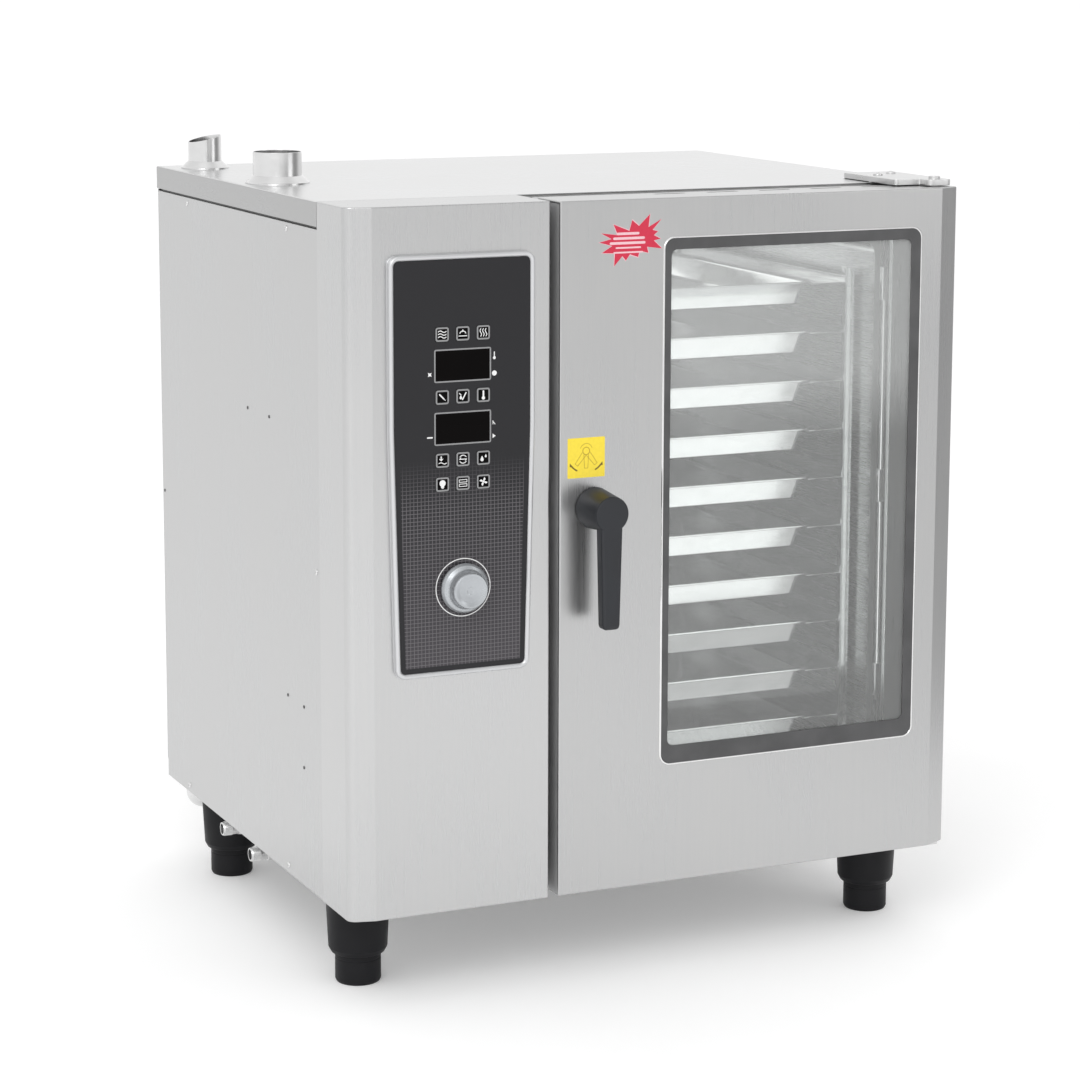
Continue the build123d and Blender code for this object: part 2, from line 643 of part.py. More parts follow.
# ---- control fascia ----
def fascia_outline(by):
    """The fascia seen from the front: upright sides that draw in towards the bottom, pulled in by by."""
    top, bottom = FASCIA_TOP, FASCIA_BOTTOM
    left_run = [(-FASCIA_HALF_BOTTOM, bottom), (-FASCIA_HALF_TOP, FASCIA_TAPER_Z), (-FASCIA_HALF_TOP, top)]
    right_run = [(-x, z) for x, z in reversed(left_run)]
    outline = polygon([(FASCIA_X + x, z) for x, z in left_run + right_run])
    bends = [v for v in outline.vertices() if abs(v.Y - FASCIA_TAPER_Z) < 1]
    outline = fillet(bends, 600)
    corners = [v for v in outline.vertices() if v.Y < bottom + 1 or v.Y > top - 1]
    outline = fillet(corners, FASCIA_CORNER)
    return offset(outline, -by) if by else outline


def make_fascia():
    """The silver bezel, and the dark plate it holds, pierced for the displays, keys and knob."""
    bezel = front_prism(fascia_outline(0), (-BEZEL_REACH, 0))
    bezel = fillet(bezel.faces().sort_by(Axis.Y)[0].outer_wire().edges(), 3)
    bezel -= front_prism(fascia_outline(BEZEL_WIDTH), (-BEZEL_REACH - 1, OVERLAY_BACK))
    bezel -= front_prism(fascia_outline(BEZEL_WIDTH + BEZEL_LEDGE), (OVERLAY_BACK, 1))
    save("fascia_bezel", bezel)

    overlay = front_prism(fascia_outline(BEZEL_WIDTH + 0.1), (OVERLAY_FRONT, OVERLAY_BACK))
    width, height = DISPLAY_SIZE
    for z in DISPLAY_Z:
        window = Pos(FASCIA_X, z) * RectangleRounded(width + 0.2, height + 0.2, 2.1)
        overlay -= front_prism(window, (OVERLAY_FRONT - 1, OVERLAY_BACK + 1))
    for _, x, z in keys():
        hole = Pos(x, z) * RectangleRounded(KEY_SIZE + KEY_GAP, KEY_SIZE + KEY_GAP, KEY_CORNER + KEY_GAP / 2)
        overlay -= front_prism(hole, (OVERLAY_FRONT - 1, OVERLAY_BACK + 1))
    overlay -= rod((FASCIA_X, -10, KNOB_Z), (0, 1, 0), 20, PLUNGER_R + 1)
    save("control_overlay", overlay)

    windows = []
    for z in DISPLAY_Z:
        window = Pos(FASCIA_X, z) * RectangleRounded(width, height, 2)
        windows.append(front_prism(window, (OVERLAY_FRONT - 0.1, OVERLAY_BACK)))
    save("display_windows", *windows)


def keys():
    """Each key's name and centre."""
    for names, z in zip(KEY_NAMES, KEY_ROWS_Z):
        for column, name in enumerate(names):
            yield name, FASCIA_X + (column - 1) * KEY_PITCH_X, z


def make_keys():
    """Twelve square keys that stand just proud of the fascia and press in."""
    for name, x, z in keys():
        cap = Pos(x, z) * RectangleRounded(KEY_SIZE, KEY_SIZE, KEY_CORNER)
        front = OVERLAY_FRONT - KEY_PROUD
        key = front_prism(cap, (front, front + KEY_DEPTH))
        key += rod((x, front + KEY_DEPTH, z), (0, 1, 0), KEY_STEM, 3)
        save(name, key)


def make_knob():
    """The dial knob: a skirt, a stepped and dished face, and the shaft of the encoder behind it."""
    profile = polygon(
        [
            (0, -KNOB_FRONT - 2.5),
            (KNOB_FACE_RADIUS - 6, -KNOB_FRONT - 1.2),
            (KNOB_FACE_RADIUS - 1.5, -KNOB_FRONT),
            (KNOB_FACE_RADIUS, -KNOB_FRONT - 1.5),
            (KNOB_FACE_RADIUS + 2.2, -KNOB_BACK + 7),
            (KNOB_RADIUS - 3, -KNOB_BACK + 4.5),
            (KNOB_RADIUS, -KNOB_BACK + 1.5),
            (KNOB_RADIUS, -KNOB_BACK),
            (0, -KNOB_BACK),
        ]
    )
    turned = revolve(Plane.XZ * profile, axis=Axis.Z)
    place = Plane(origin=(FASCIA_X, 0, KNOB_Z), x_dir=(1, 0, 0), z_dir=(0, -1, 0))
    knob = place * turned + rod((FASCIA_X, KNOB_BACK - 1, KNOB_Z), (0, 1, 0), 28, KNOB_SHAFT_R)
    save("knob", knob)

    plunger = rod((FASCIA_X, KNOB_BACK + 1, KNOB_Z), (0, 1, 0), 22, PLUNGER_R)
    plunger -= rod((FASCIA_X, KNOB_BACK, KNOB_Z), (0, 1, 0), 30, KNOB_SHAFT_R + RUNNING_GAP)
    save("encoder_plunger", plunger)

    size = 14.0
    encoder = block((FASCIA_X - size, FASCIA_X + size), (13.8, 26), (KNOB_Z - size, KNOB_Z + size))
    encoder += rod((FASCIA_X, 1, KNOB_Z), (0, 1, 0), 13, 8.5)
    encoder -= rod((FASCIA_X, 0, KNOB_Z), (0, 1, 0), 21 + KNOB_TRAVEL, PLUNGER_R + RUNNING_GAP)
    save("encoder", encoder)


# ---- door ----
def door_outline(by):
    """The door in plan, with its right front corner cut off, open towards the back."""
    back = DOOR_SKIN_DEPTH if by == 0 else DOOR_SKIN_DEPTH + 1
    slope = DOOR_CHAMFER_Y / DOOR_CHAMFER_X
    return polygon(
        [
            (DOOR_LEFT + by, back),
            (DOOR_LEFT + by, by),
            (WIDTH - DOOR_CHAMFER_X - by * slope / 2, by),
            (WIDTH - by, DOOR_CHAMFER_Y + by * (1 - slope / 2)),
            (WIDTH - by, back),
        ]
    )


def latch_slot():
    """Where the latch nose swings through the door's left edge."""
    return block((DOOR_LEFT - 1, DOOR_LEFT + 6), (LATCH_Y[0] - 2, LATCH_Y[1] + 2), (HANDLE_Z - 44, HANDLE_Z + 44))


def make_door_skin():
    """The outer pan of the door, with the window, five cooling slots in its top, and the hinge holes."""
    skin = plan_prism(door_outline(0), (DOOR_BOTTOM, DOOR_TOP))
    skin -= plan_prism(door_outline(SHEET), (DOOR_BOTTOM + SHEET, DOOR_TOP - SHEET))
    skin -= front_prism(rounded(WINDOW, WINDOW_CORNER), (-1, SHEET + 1))
    slot_pitch, slot_length = 80.0, 48.0
    for i in range(5):
        centre = Pos(462 + slot_length / 2 + slot_pitch * i, 58)
        skin -= plan_prism(centre * SlotOverall(slot_length, 8), (DOOR_TOP - 4, DOOR_TOP + 1))
    for z in (DOOR_BOTTOM - 1, DOOR_TOP - 3):
        skin -= rod((HINGE_X, HINGE_Y, z), (0, 0, 1), 5, HINGE_PIN_R + FOOT_GAP)
    skin -= rod((HANDLE_X, -1, HANDLE_Z), (0, 1, 0), 4, SPINDLE_R + RUNNING_GAP)
    save("door_skin", skin - latch_slot())


def make_door_inner_frame():
    """The inner pan that closes the back of the door around the inner pane."""
    gap = 0.1
    x = (DOOR_LEFT + SHEET + gap, WIDTH - SHEET - gap)
    z = (DOOR_BOTTOM + SHEET + gap, DOOR_TOP - SHEET - gap)
    front = DOOR_SKIN_DEPTH - 18
    pan = block(x, (front, DOOR_REAR), z)
    pan -= block(
        (x[0] + SHEET, x[1] - SHEET), (front - 1, DOOR_REAR - SHEET), (z[0] + SHEET, z[1] - SHEET)
    )
    pan -= front_prism(rounded(INNER_WINDOW, 16), (DOOR_REAR - 3, DOOR_REAR + 1))
    save("door_inner_frame", pan - latch_slot())


def make_glazing():
    """The outer pane in its rubber trim, and the larger inner pane behind the inner frame."""
    lip = front_prism(rounded(WINDOW, WINDOW_CORNER) - rounded(inset(WINDOW, WINDOW_BAND), 9), (-1, 0.6))
    wall = front_prism(
        rounded(WINDOW, WINDOW_CORNER) - rounded(inset(WINDOW, 3.0), WINDOW_CORNER - 3), (0.6, 6.5)
    )
    save("window_trim", lip + wall)
    save("outer_glass", front_prism(rounded(inset(WINDOW, 3.2), WINDOW_CORNER - 3), (0.7, 4.7)))
    save("inner_glass", front_prism(rounded(inset(INNER_WINDOW, -9), 12), (DOOR_REAR - 7, DOOR_REAR - 2)))


def make_hinge_bushes():
    """The two sleeves in the door that turn on the hinge pins."""
    bushes = []
    for z, up in ((DOOR_BOTTOM + SHEET, 1), (DOOR_TOP - SHEET, -1)):
        bush = rod((HINGE_X, HINGE_Y, z), (0, 0, up), 26, 12)
        bushes.append(bush - rod((HINGE_X, HINGE_Y, z - up), (0, 0, up), 30, HINGE_PIN_R + RUNNING_GAP))
    save("hinge_bushes", *bushes)


def make_handle():
    """The lever handle: a tapered boss off the door and a flat lever hanging from it."""
    front, back = -HANDLE_REACH, -HANDLE_REACH + LEVER_THICKNESS
    boss = rod((HANDLE_X, -0.6, HANDLE_Z), (0, -1, 0), HANDLE_REACH - 0.6, BOSS_REAR_R, BOSS_FRONT_R)
    shape = polygon(
        [
            (HANDLE_X - LEVER_HALF_TOP, HANDLE_Z - 8),
            (HANDLE_X - LEVER_HALF_TIP, HANDLE_Z - LEVER_LENGTH),
            (HANDLE_X + LEVER_HALF_TIP, HANDLE_Z - LEVER_LENGTH),
            (HANDLE_X + LEVER_HALF_TOP, HANDLE_Z - 8),
        ]
    )
    shape = fillet(shape.vertices().group_by(Axis.Y)[0], 6)
    lever = boss + front_prism(shape, (front, back))
    lever -= rod((HANDLE_X, 1, HANDLE_Z), (0, -1, 0), 31, SPINDLE_R)
    save("handle_lever", lever)

    spindle = rod((HANDLE_X, -30, HANDLE_Z), (0, 1, 0), 30 + LATCH_Y[1] + 4, SPINDLE_R)
    hub = rod((HANDLE_X, LATCH_Y[0], HANDLE_Z), (0, 1, 0), LATCH_Y[1] - LATCH_Y[0], 20)
    nose = block((HANDLE_X - LATCH_NOSE, HANDLE_X), LATCH_Y, (HANDLE_Z - 9, HANDLE_Z + 9))
    nose = fillet(nose.edges().filter_by(Axis.Y).group_by(Axis.X)[0], 7)
    save("latch_spindle", spindle + hub + nose)


make_base_frame()
make_bottom_panel()
make_feet()
make_drain_pipe()
make_water_inlets()
make_cable_gland()
make_side_panels()
make_rear_panel()
make_top_cover()
make_column_cover()
make_cover_screws()
make_vent_pipes()
make_hinge_brackets()
make_front_frame()
make_door_seal()
make_door_keeper()
make_cavity_liner()
make_insulation()
make_air_baffle()
make_fan()
make_heating_elements()
make_tray_racks()
make_gn_trays()
make_cavity_lamp()
make_control_board()
make_contactors()
make_fascia()
make_keys()
make_knob()
make_door_skin()
make_door_inner_frame()
make_glazing()
make_hinge_bushes()
make_handle()
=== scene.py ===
from math import cos, pi, radians, sin, tan

import bmesh
import bpy
from mathutils import Matrix, Vector


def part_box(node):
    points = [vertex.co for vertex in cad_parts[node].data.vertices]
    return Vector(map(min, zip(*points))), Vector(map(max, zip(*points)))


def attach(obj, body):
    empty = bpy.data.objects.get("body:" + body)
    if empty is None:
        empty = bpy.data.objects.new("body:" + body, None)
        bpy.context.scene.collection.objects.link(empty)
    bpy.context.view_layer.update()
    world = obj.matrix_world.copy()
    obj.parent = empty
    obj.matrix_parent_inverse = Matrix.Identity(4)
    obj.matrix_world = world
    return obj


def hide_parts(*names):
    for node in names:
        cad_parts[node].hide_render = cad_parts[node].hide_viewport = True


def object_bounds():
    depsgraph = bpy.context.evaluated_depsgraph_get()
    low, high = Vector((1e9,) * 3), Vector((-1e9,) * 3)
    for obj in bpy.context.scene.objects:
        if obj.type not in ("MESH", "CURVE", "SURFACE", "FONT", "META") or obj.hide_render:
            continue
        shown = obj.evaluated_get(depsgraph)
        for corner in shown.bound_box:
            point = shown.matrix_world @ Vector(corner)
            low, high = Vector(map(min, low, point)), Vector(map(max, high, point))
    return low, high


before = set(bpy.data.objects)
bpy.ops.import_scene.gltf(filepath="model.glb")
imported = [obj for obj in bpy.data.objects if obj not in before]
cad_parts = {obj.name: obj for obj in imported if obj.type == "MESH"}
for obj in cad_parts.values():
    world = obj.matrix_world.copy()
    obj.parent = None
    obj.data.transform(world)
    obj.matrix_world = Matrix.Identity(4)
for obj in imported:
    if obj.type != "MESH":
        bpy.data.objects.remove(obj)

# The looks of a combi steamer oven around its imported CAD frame.
#
# Shapes are drawn in millimetres from the body's front lower left corner: x to the right, y back from
# the door's face, z up from the underside of the body. piece() moves them into the frame.

CAD_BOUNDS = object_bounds()
MM = 0.001
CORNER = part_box("column_cover")[0]
TO_FRAME = Matrix.Translation(CORNER) @ Matrix.Scale(MM, 4)
SHEET = 1.5


def span(node):
    """A CAD node's (low, high) in x, y and z, in millimetres from the body's corner."""
    low, high = [(corner - CORNER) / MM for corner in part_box(node)]
    return tuple(zip(low, high))


COLUMN_X, COLUMN_Y, COLUMN_Z = span("column_cover")
LID_X, LID_Y, LID_Z = span("top_cover")
DOOR_X, DOOR_Y, DOOR_Z = span("door_skin")
BEZEL_X, BEZEL_Y, BEZEL_Z = span("fascia_bezel")
GLASS_X, _, GLASS_Z = span("outer_glass")
KNOB_X, KNOB_Y, KNOB_Z = span("knob")
_, HANDLE_Y, HANDLE_Z = span("handle_lever")
WIDTH, HEIGHT = LID_X[1], LID_Z[1]

CABINET, DOOR, HANDLE = "cabinet", "door", "handle"
UP, BACK, FORWARD, RIGHT = (0, 0, 1), (0, 1, 0), (0, -1, 0), (1, 0, 0)


def middle(pair):
    return (pair[0] + pair[1]) / 2


# ---- node materials ----
class Nodes:
    """A node tree, and short ways to add procedural textures and sums to it."""

    def __init__(self, tree, coordinates):
        self.nodes = tree.nodes
        self.links = tree.links
        self.place = self.nodes.new("ShaderNodeTexCoord").outputs[coordinates]

    def fill(self, socket, value):
        """Links an input to another node's output, or sets it to a plain value."""
        if isinstance(value, bpy.types.NodeSocket):
            self.links.new(value, socket)
        else:
            socket.default_value = value

    def node(self, kind, **inputs):
        made = self.nodes.new(f"ShaderNode{kind}")
        for name, value in inputs.items():
            self.fill(made.inputs[name.replace("_", " ")], value)
        return made

    def noise(self, scale, stretch=(1, 1, 1), detail=3.0, rough=0.5):
        """Noise of so many cells a metre, drawn out along the axes where stretch is small."""
        mapped = self.node("Mapping", Vector=self.place, Scale=stretch).outputs["Vector"]
        made = self.node("TexNoise", Vector=mapped, Scale=scale, Detail=detail, Roughness=rough)
        return made.outputs["Fac"]

    def between(self, factor, low, high, start=0.35, end=0.65):
        """A number or colour that goes from low to high as factor goes from start to end."""
        if isinstance(low, tuple):
            ramp = self.node("ValToRGB", Fac=factor)
            for element, at, color in zip(ramp.color_ramp.elements, (start, end), (low, high)):
                element.position = at
                element.color = (*color, 1.0)
            return ramp.outputs["Color"]
        made = self.node("MapRange", Value=factor, From_Min=start, From_Max=end, To_Min=low, To_Max=high)
        return made.outputs["Result"]

    def math(self, operation, *values):
        made = self.nodes.new("ShaderNodeMath")
        made.operation = operation
        for socket, value in zip(made.inputs, values):
            self.fill(socket, value)
        return made.outputs["Value"]

    def mix(self, factor, first, second):
        made = self.nodes.new("ShaderNodeMix")
        made.data_type = "RGBA"
        for name, value in (("Factor", factor), ("A", first), ("B", second)):
            self.fill(next(s for s in made.inputs if s.name == name and s.enabled), value)
        return next(s for s in made.outputs if s.enabled)

    def axes(self):
        """x, y and z of the place."""
        return self.node("SeparateXYZ", Vector=self.place).outputs

    def body_axes(self):
        """x, y and z of the place, in millimetres from the body's corner."""
        axes = zip(self.axes(), CORNER)
        return [self.math("DIVIDE", self.math("SUBTRACT", value, corner), MM) for value, corner in axes]


class Shader(Nodes):
    """A node material with one Principled shader."""

    def __init__(self, name, color, metallic=0.0, roughness=0.5, **plain):
        self.material = bpy.data.materials.new(name)
        self.material.use_nodes = True
        super().__init__(self.material.node_tree, "Object")
        self.shader = next(n for n in self.nodes if n.type == "BSDF_PRINCIPLED")
        self.feed("Base Color", (*color, 1.0))
        self.feed("Metallic", metallic)
        self.feed("Roughness", roughness)
        for socket, value in plain.items():
            self.feed(socket.replace("_", " "), value)

    def feed(self, socket, value):
        self.fill(self.shader.inputs[socket], value)

    def bump(self, height, depth, strength=1.0):
        """Relief of so many metres."""
        made = self.node("Bump", Height=height, Distance=depth, Strength=strength)
        self.feed("Normal", made.outputs["Normal"])


def brushed_steel(name, tone, along, roughness=(0.26, 0.33)):
    """Stainless sheet ground along one axis: fine drawn-out grain, faint cloudy stains."""
    grain_stretch, worn = 0.012, 0.022
    made = Shader(name, (tone, tone, tone), metallic=1.0, roughness=middle(roughness))
    stretch = tuple(grain_stretch if axis == along else 1.0 for axis in "xyz")
    grain = made.noise(1500.0, stretch, detail=4.0, rough=0.6)
    streak = made.noise(260.0, stretch, detail=3.0)
    cloud = made.noise(7.0, (1, 1, 0.6), detail=5.0)
    low = tuple(c * tone * (1 - worn) for c in (0.985, 0.992, 1.0))
    high = tuple(c * tone * (1 + worn) for c in (1.0, 0.997, 0.992))
    mixed = made.math("MULTIPLY_ADD", grain, 0.6, made.math("MULTIPLY", streak, 0.4))
    clouded = made.math("MULTIPLY_ADD", cloud, 0.35, made.math("MULTIPLY", mixed, 0.65))
    made.feed("Base Color", made.between(clouded, low, high, 0.36, 0.64))
    made.feed("Roughness", made.between(clouded, *roughness, 0.38, 0.62))
    made.bump(grain, FINE_RELIEF, 0.2)
    return made.material


def polished_steel(name, tone, roughness=(0.12, 0.22)):
    """Pressed bright steel, with faint swirls and smears."""
    made = Shader(name, (tone, tone, tone), metallic=1.0, roughness=middle(roughness))
    smear = made.noise(18.0, (1, 1, 2.5), detail=5.0, rough=0.6)
    made.feed("Base Color", made.between(smear, (tone * 0.95,) * 3, (tone * 1.03,) * 3))
    made.feed("Roughness", made.between(smear, *roughness))
    made.bump(made.noise(240.0, detail=2.0), FINE_RELIEF, 0.3)
    return made.material


def moulded(name, color, roughness=(0.42, 0.58), grain=900.0, relief=0.00012, mottle=0.12, **plain):
    """Moulded plastic or rubber with a fine texture and a slightly uneven sheen."""
    made = Shader(name, color, roughness=middle(roughness), **plain)
    broad = made.noise(22.0, detail=4.0)
    low, high = [tuple(c * share for c in color) for share in (1 - mottle, 1 + mottle)]
    made.feed("Base Color", made.between(broad, low, high))
    made.feed("Roughness", made.between(broad, *roughness))
    made.bump(made.noise(grain, detail=2.0), relief, 0.5)
    return made.material


def clear_glass(name, painted_reflection=(0.0, 0.0)):
    """Clear glass, with painted reflection as a faint milky whiteness, painted_reflection = (amount low down,
    amount high up).
    """
    made = Shader(name, (0.97, 0.985, 0.98), roughness=0.0, Transmission_Weight=1.0, IOR=1.45)
    if any(painted_reflection):
        clear = made.between(made.body_axes()[2], 1 - painted_reflection[0], 1 - painted_reflection[1], *PAINTED_REFLECTION_STEP)
        made.feed("Transmission Weight", clear)
    return made.material


def printed(name, color, roughness=0.45):
    """Ink or sticker film: flat colour with a faint mottle."""
    made = Shader(name, color, roughness=roughness)
    low, high = tuple(c * 0.97 for c in color), tuple(min(1, c * 1.02) for c in color)
    made.feed("Base Color", made.between(made.noise(300.0, detail=2.0), low, high))
    return made.material


# Relief in metres; the rest in millimetres from the body's corner: the heights between which the pane's
# painted reflection changes, the fascia's outline, and the grid printed on its film.
FINE_RELIEF, SMOOTH_RELIEF = 0.00003, 0.00002
PAINTED_REFLECTION_STEP = (600.0, 700.0)
BEZEL_WIDTH = 7.0
FASCIA_HALF_TOP = (BEZEL_X[1] - BEZEL_X[0]) / 2
FASCIA_HALF_BOTTOM = FASCIA_HALF_TOP - 8.0
FASCIA_TAPER_Z = 650.0
GRID_PITCH = 5.16
GRID_LINE = 0.55
GRID_FADE = (545.0, 610.0)
GRID_INSET = 7.0
GRID_EDGE = 0.6
PANEL_FADE = (330.0, 580.0)


def control_film():
    """Dark film that pales towards the bottom, where a fine grid is printed inside a plain border."""
    dark, pale, line = (0.0145, 0.0142, 0.0165), (0.052, 0.048, 0.054), (0.150, 0.142, 0.152)
    made = Shader("control_film", dark, roughness=0.34, Specular_IOR_Level=0.3)
    x, _, z = made.body_axes()
    crossing = []
    for value in (x, z):
        wave = made.math("PINGPONG", made.math("DIVIDE", value, GRID_PITCH), 0.5)
        share = GRID_LINE / GRID_PITCH
        crossing.append(made.between(wave, 1.0, 0.0, share / 2, share))
    lines = made.math("MAXIMUM", *crossing)
    # The border follows the film's sides, which draw in below the bend.
    bottom = BEZEL_Z[0]
    reach = made.between(z, grid_half(bottom), grid_half(FASCIA_TAPER_Z), bottom, FASCIA_TAPER_Z)
    aside = made.math("ABSOLUTE", made.math("SUBTRACT", x, middle(BEZEL_X)))
    room_x = made.math("SUBTRACT", reach, aside)
    room_z = made.math("SUBTRACT", z, bottom + BEZEL_WIDTH + GRID_INSET)
    inside_x, inside_z = [made.between(room, 0.0, 1.0, -GRID_EDGE, GRID_EDGE) for room in (room_x, room_z)]
    inside = made.math("MULTIPLY", inside_x, inside_z)
    pale_share = made.math("MULTIPLY", inside, made.between(z, 1.0, 0.0, *PANEL_FADE))
    ground = made.mix(pale_share, (*dark, 1), (*pale, 1))
    shown = made.math("MULTIPLY", inside, made.between(z, 1.0, 0.0, *GRID_FADE))
    line_share = made.math("MULTIPLY", made.math("MULTIPLY", lines, shown), 0.8)
    made.feed("Base Color", made.mix(line_share, ground, (*line, 1)))
    made.feed("Roughness", made.between(made.noise(30.0, detail=4.0), 0.30, 0.40))
    return made.material


def grid_half(z):
    """Half the width of the printed grid at a height."""
    share = (z - BEZEL_Z[0]) / (FASCIA_TAPER_Z - BEZEL_Z[0])
    half = FASCIA_HALF_BOTTOM + (FASCIA_HALF_TOP - FASCIA_HALF_BOTTOM) * share
    return half - BEZEL_WIDTH - GRID_INSET


SIDE_STEEL = brushed_steel("side_steel", 0.535, "z")
COLUMN_STEEL = brushed_steel("column_steel", 0.56, "z")
DOOR_STEEL = brushed_steel("door_steel", 0.52, "z")
# Painted light and shade: the lid is one sheet, given a paler tone on its top and a darker one on its sides.
LID_TOP_PAINTED_LIGHT_STEEL = brushed_steel("lid_top_painted_light", 0.67, "x")
LID_SIDES_PAINTED_SHADE_STEEL = brushed_steel("lid_sides_painted_shade", 0.435, "y")
FRAME_STEEL = brushed_steel("frame_steel", 0.5, "x", roughness=(0.3, 0.45))
CAVITY_STEEL = brushed_steel("cavity_steel", 0.58, "y", roughness=(0.2, 0.32))
TRAY_STEEL = polished_steel("tray_steel", 0.76)
RACK_STEEL = polished_steel("rack_steel", 0.8, roughness=(0.1, 0.2))
PIPE_STEEL = polished_steel("pipe_steel", 0.72, roughness=(0.14, 0.22))
HINGE_STEEL = polished_steel("hinge_steel", 0.66, roughness=(0.25, 0.4))
SCREW_STEEL = polished_steel("screw_steel", 0.75, roughness=(0.18, 0.28))
NICKEL = polished_steel("nickel", 0.68, roughness=(0.2, 0.35))
FOOT_PLASTIC = moulded(
    "foot_plastic", (0.007, 0.007, 0.0085), roughness=(0.45, 0.6), Specular_IOR_Level=0.22,
)
GLAND_PLASTIC = moulded("gland_plastic", (0.02, 0.02, 0.022))
HANDLE_PLASTIC = moulded(
    "handle_plastic", (0.010, 0.0115, 0.0155), roughness=(0.38, 0.48), Specular_IOR_Level=0.5,
)
BAND_RUBBER = moulded(
    "band_rubber", (0.085, 0.085, 0.087), roughness=(0.4, 0.5), grain=500.0, Specular_IOR_Level=0.25,
)
SEAL_RUBBER = moulded("seal_rubber", (0.02, 0.02, 0.021), roughness=(0.5, 0.65), grain=400.0)
BEZEL_SILVER = moulded(
    "bezel_silver", (0.60, 0.605, 0.615), roughness=(0.28, 0.32), relief=SMOOTH_RELIEF, mottle=0.01,
    Metallic=0.6,
)
KNOB_SILVER = moulded(
    "knob_silver", (0.45, 0.47, 0.49), roughness=(0.24, 0.3), relief=SMOOTH_RELIEF, mottle=0.02,
    Metallic=0.65,
)
# Painted light: a paler, less metallic steel for the door's left side, standing in for the light that side
# reflects in the gap by the column.
DOOR_SIDE_PAINTED_LIGHT = moulded(
    "door_side_painted_light", (0.46, 0.46, 0.465), roughness=(0.35, 0.45), grain=500.0, relief=SMOOTH_RELIEF,
    mottle=0.02, Metallic=0.4,
)
FILM = control_film()
KEY_FILM = moulded(
    "key_film", (0.014, 0.0145, 0.0155), roughness=(0.3, 0.4), relief=SMOOTH_RELIEF, Specular_IOR_Level=0.3,
)
KEY_BLACK = moulded(
    "key_black", (0.002, 0.002, 0.002), roughness=(0.3, 0.4), relief=SMOOTH_RELIEF, Specular_IOR_Level=0.06,
)
DISPLAY_BLACK = moulded(
    "display_black", (0.0015, 0.001, 0.001), roughness=(0.06, 0.12), relief=0.00001, Specular_IOR_Level=0.06,
)
INK_WHITE = printed("ink_white", (0.78, 0.78, 0.78))
INK_GREY = printed("ink_grey", (0.25, 0.25, 0.255))
INK_DARK = printed("ink_dark", (0.16, 0.11, 0.01))
LABEL_RED = printed("label_red", (0.56, 0.018, 0.055), roughness=0.35)
LABEL_PINK = printed("label_pink", (0.78, 0.50, 0.54), roughness=0.35)
LABEL_YELLOW = printed("label_yellow", (0.86, 0.67, 0.045), roughness=0.35)
LABEL_OCHRE = printed("label_ochre", (0.40, 0.26, 0.015), roughness=0.35)
DOOR_GLASS = clear_glass("door_glass")
# Painted reflection: the outer pane lets less light through, more so high up, and shows a whitish sheen there
# instead.
OUTER_GLASS = clear_glass("outer_glass_painted_reflection", painted_reflection=(0.06, 0.17))
LAMP_GLASS = moulded("lamp_glass", (0.85, 0.85, 0.8), roughness=(0.2, 0.3), Transmission_Weight=0.4)
WOOL = moulded("wool", (0.62, 0.52, 0.3), roughness=(0.85, 0.95), grain=220.0, relief=0.002)
MOTOR_PAINT = moulded("motor_paint", (0.05, 0.06, 0.075), roughness=(0.35, 0.5), relief=0.0002)
HEATER_STEEL = polished_steel("heater_steel", 0.3, roughness=(0.3, 0.5))
BOARD_GREEN = moulded("board_green", (0.015, 0.09, 0.04), roughness=(0.35, 0.5))
CONTACTOR_GREY = moulded("contactor_grey", (0.12, 0.125, 0.13))
SHADOW_STEEL = brushed_steel("shadow_steel", 0.12, "y", roughness=(0.4, 0.5))

KEPT_NODES = {
    "base_frame": FRAME_STEEL, "bottom_panel": FRAME_STEEL, "hinge_bracket_lower": HINGE_STEEL,
    "door_keeper": HINGE_STEEL, "hinge_bushes": HINGE_STEEL, "latch_spindle": HINGE_STEEL,
    "air_baffle": CAVITY_STEEL, "fan_wheel": CAVITY_STEEL, "fan_motor": MOTOR_PAINT,
    "heating_elements": HEATER_STEEL, "insulation": WOOL, "control_board": BOARD_GREEN,
    "contactors": CONTACTOR_GREY, "encoder": CONTACTOR_GREY, "encoder_plunger": CONTACTOR_GREY,
    "cavity_lamp": LAMP_GLASS, "control_overlay": FILM, "display_windows": DISPLAY_BLACK,
    "outer_glass": OUTER_GLASS, "inner_glass": DOOR_GLASS, "door_seal": SEAL_RUBBER,
}


# ---- outlines and solids ----
def rounded(points, radius, steps=6):
    """A closed outline with its corners rounded; radius is one number, or one for each corner."""
    radii = radius if hasattr(radius, "__len__") else [radius] * len(points)
    outline = []
    for i, (point, r) in enumerate(zip(points, radii)):
        corner = Vector(point)
        before = (Vector(points[i - 1]) - corner).normalized()
        after = (Vector(points[(i + 1) % len(points)]) - corner).normalized()
        if r <= 0:
            outline.append(corner)
            continue
        half = before.angle(after) / 2
        centre = corner + (before + after).normalized() * r / sin(half)
        arm = before * (r / tan(half)) + corner - centre
        turn = (pi - 2 * half) * (1 if before.cross(after) < 0 else -1)
        for step in range(steps + 1):
            outline.append(centre + Matrix.Rotation(turn * step / steps, 2) @ arm)
    return outline


def rectangle(u, v, radius=0.0, steps=6):
    """A rounded rectangle from (low, high) pairs."""
    corners = [(u[0], v[0]), (u[1], v[0]), (u[1], v[1]), (u[0], v[1])]
    return rounded(corners, radius, steps)


def circle(centre, radius, steps=32):
    return [
        Vector(centre) + radius * Vector((cos(2 * pi * i / steps), sin(2 * pi * i / steps)))
        for i in range(steps)
    ]


def shrunk(pair, by):
    return (pair[0] + by, pair[1] - by)


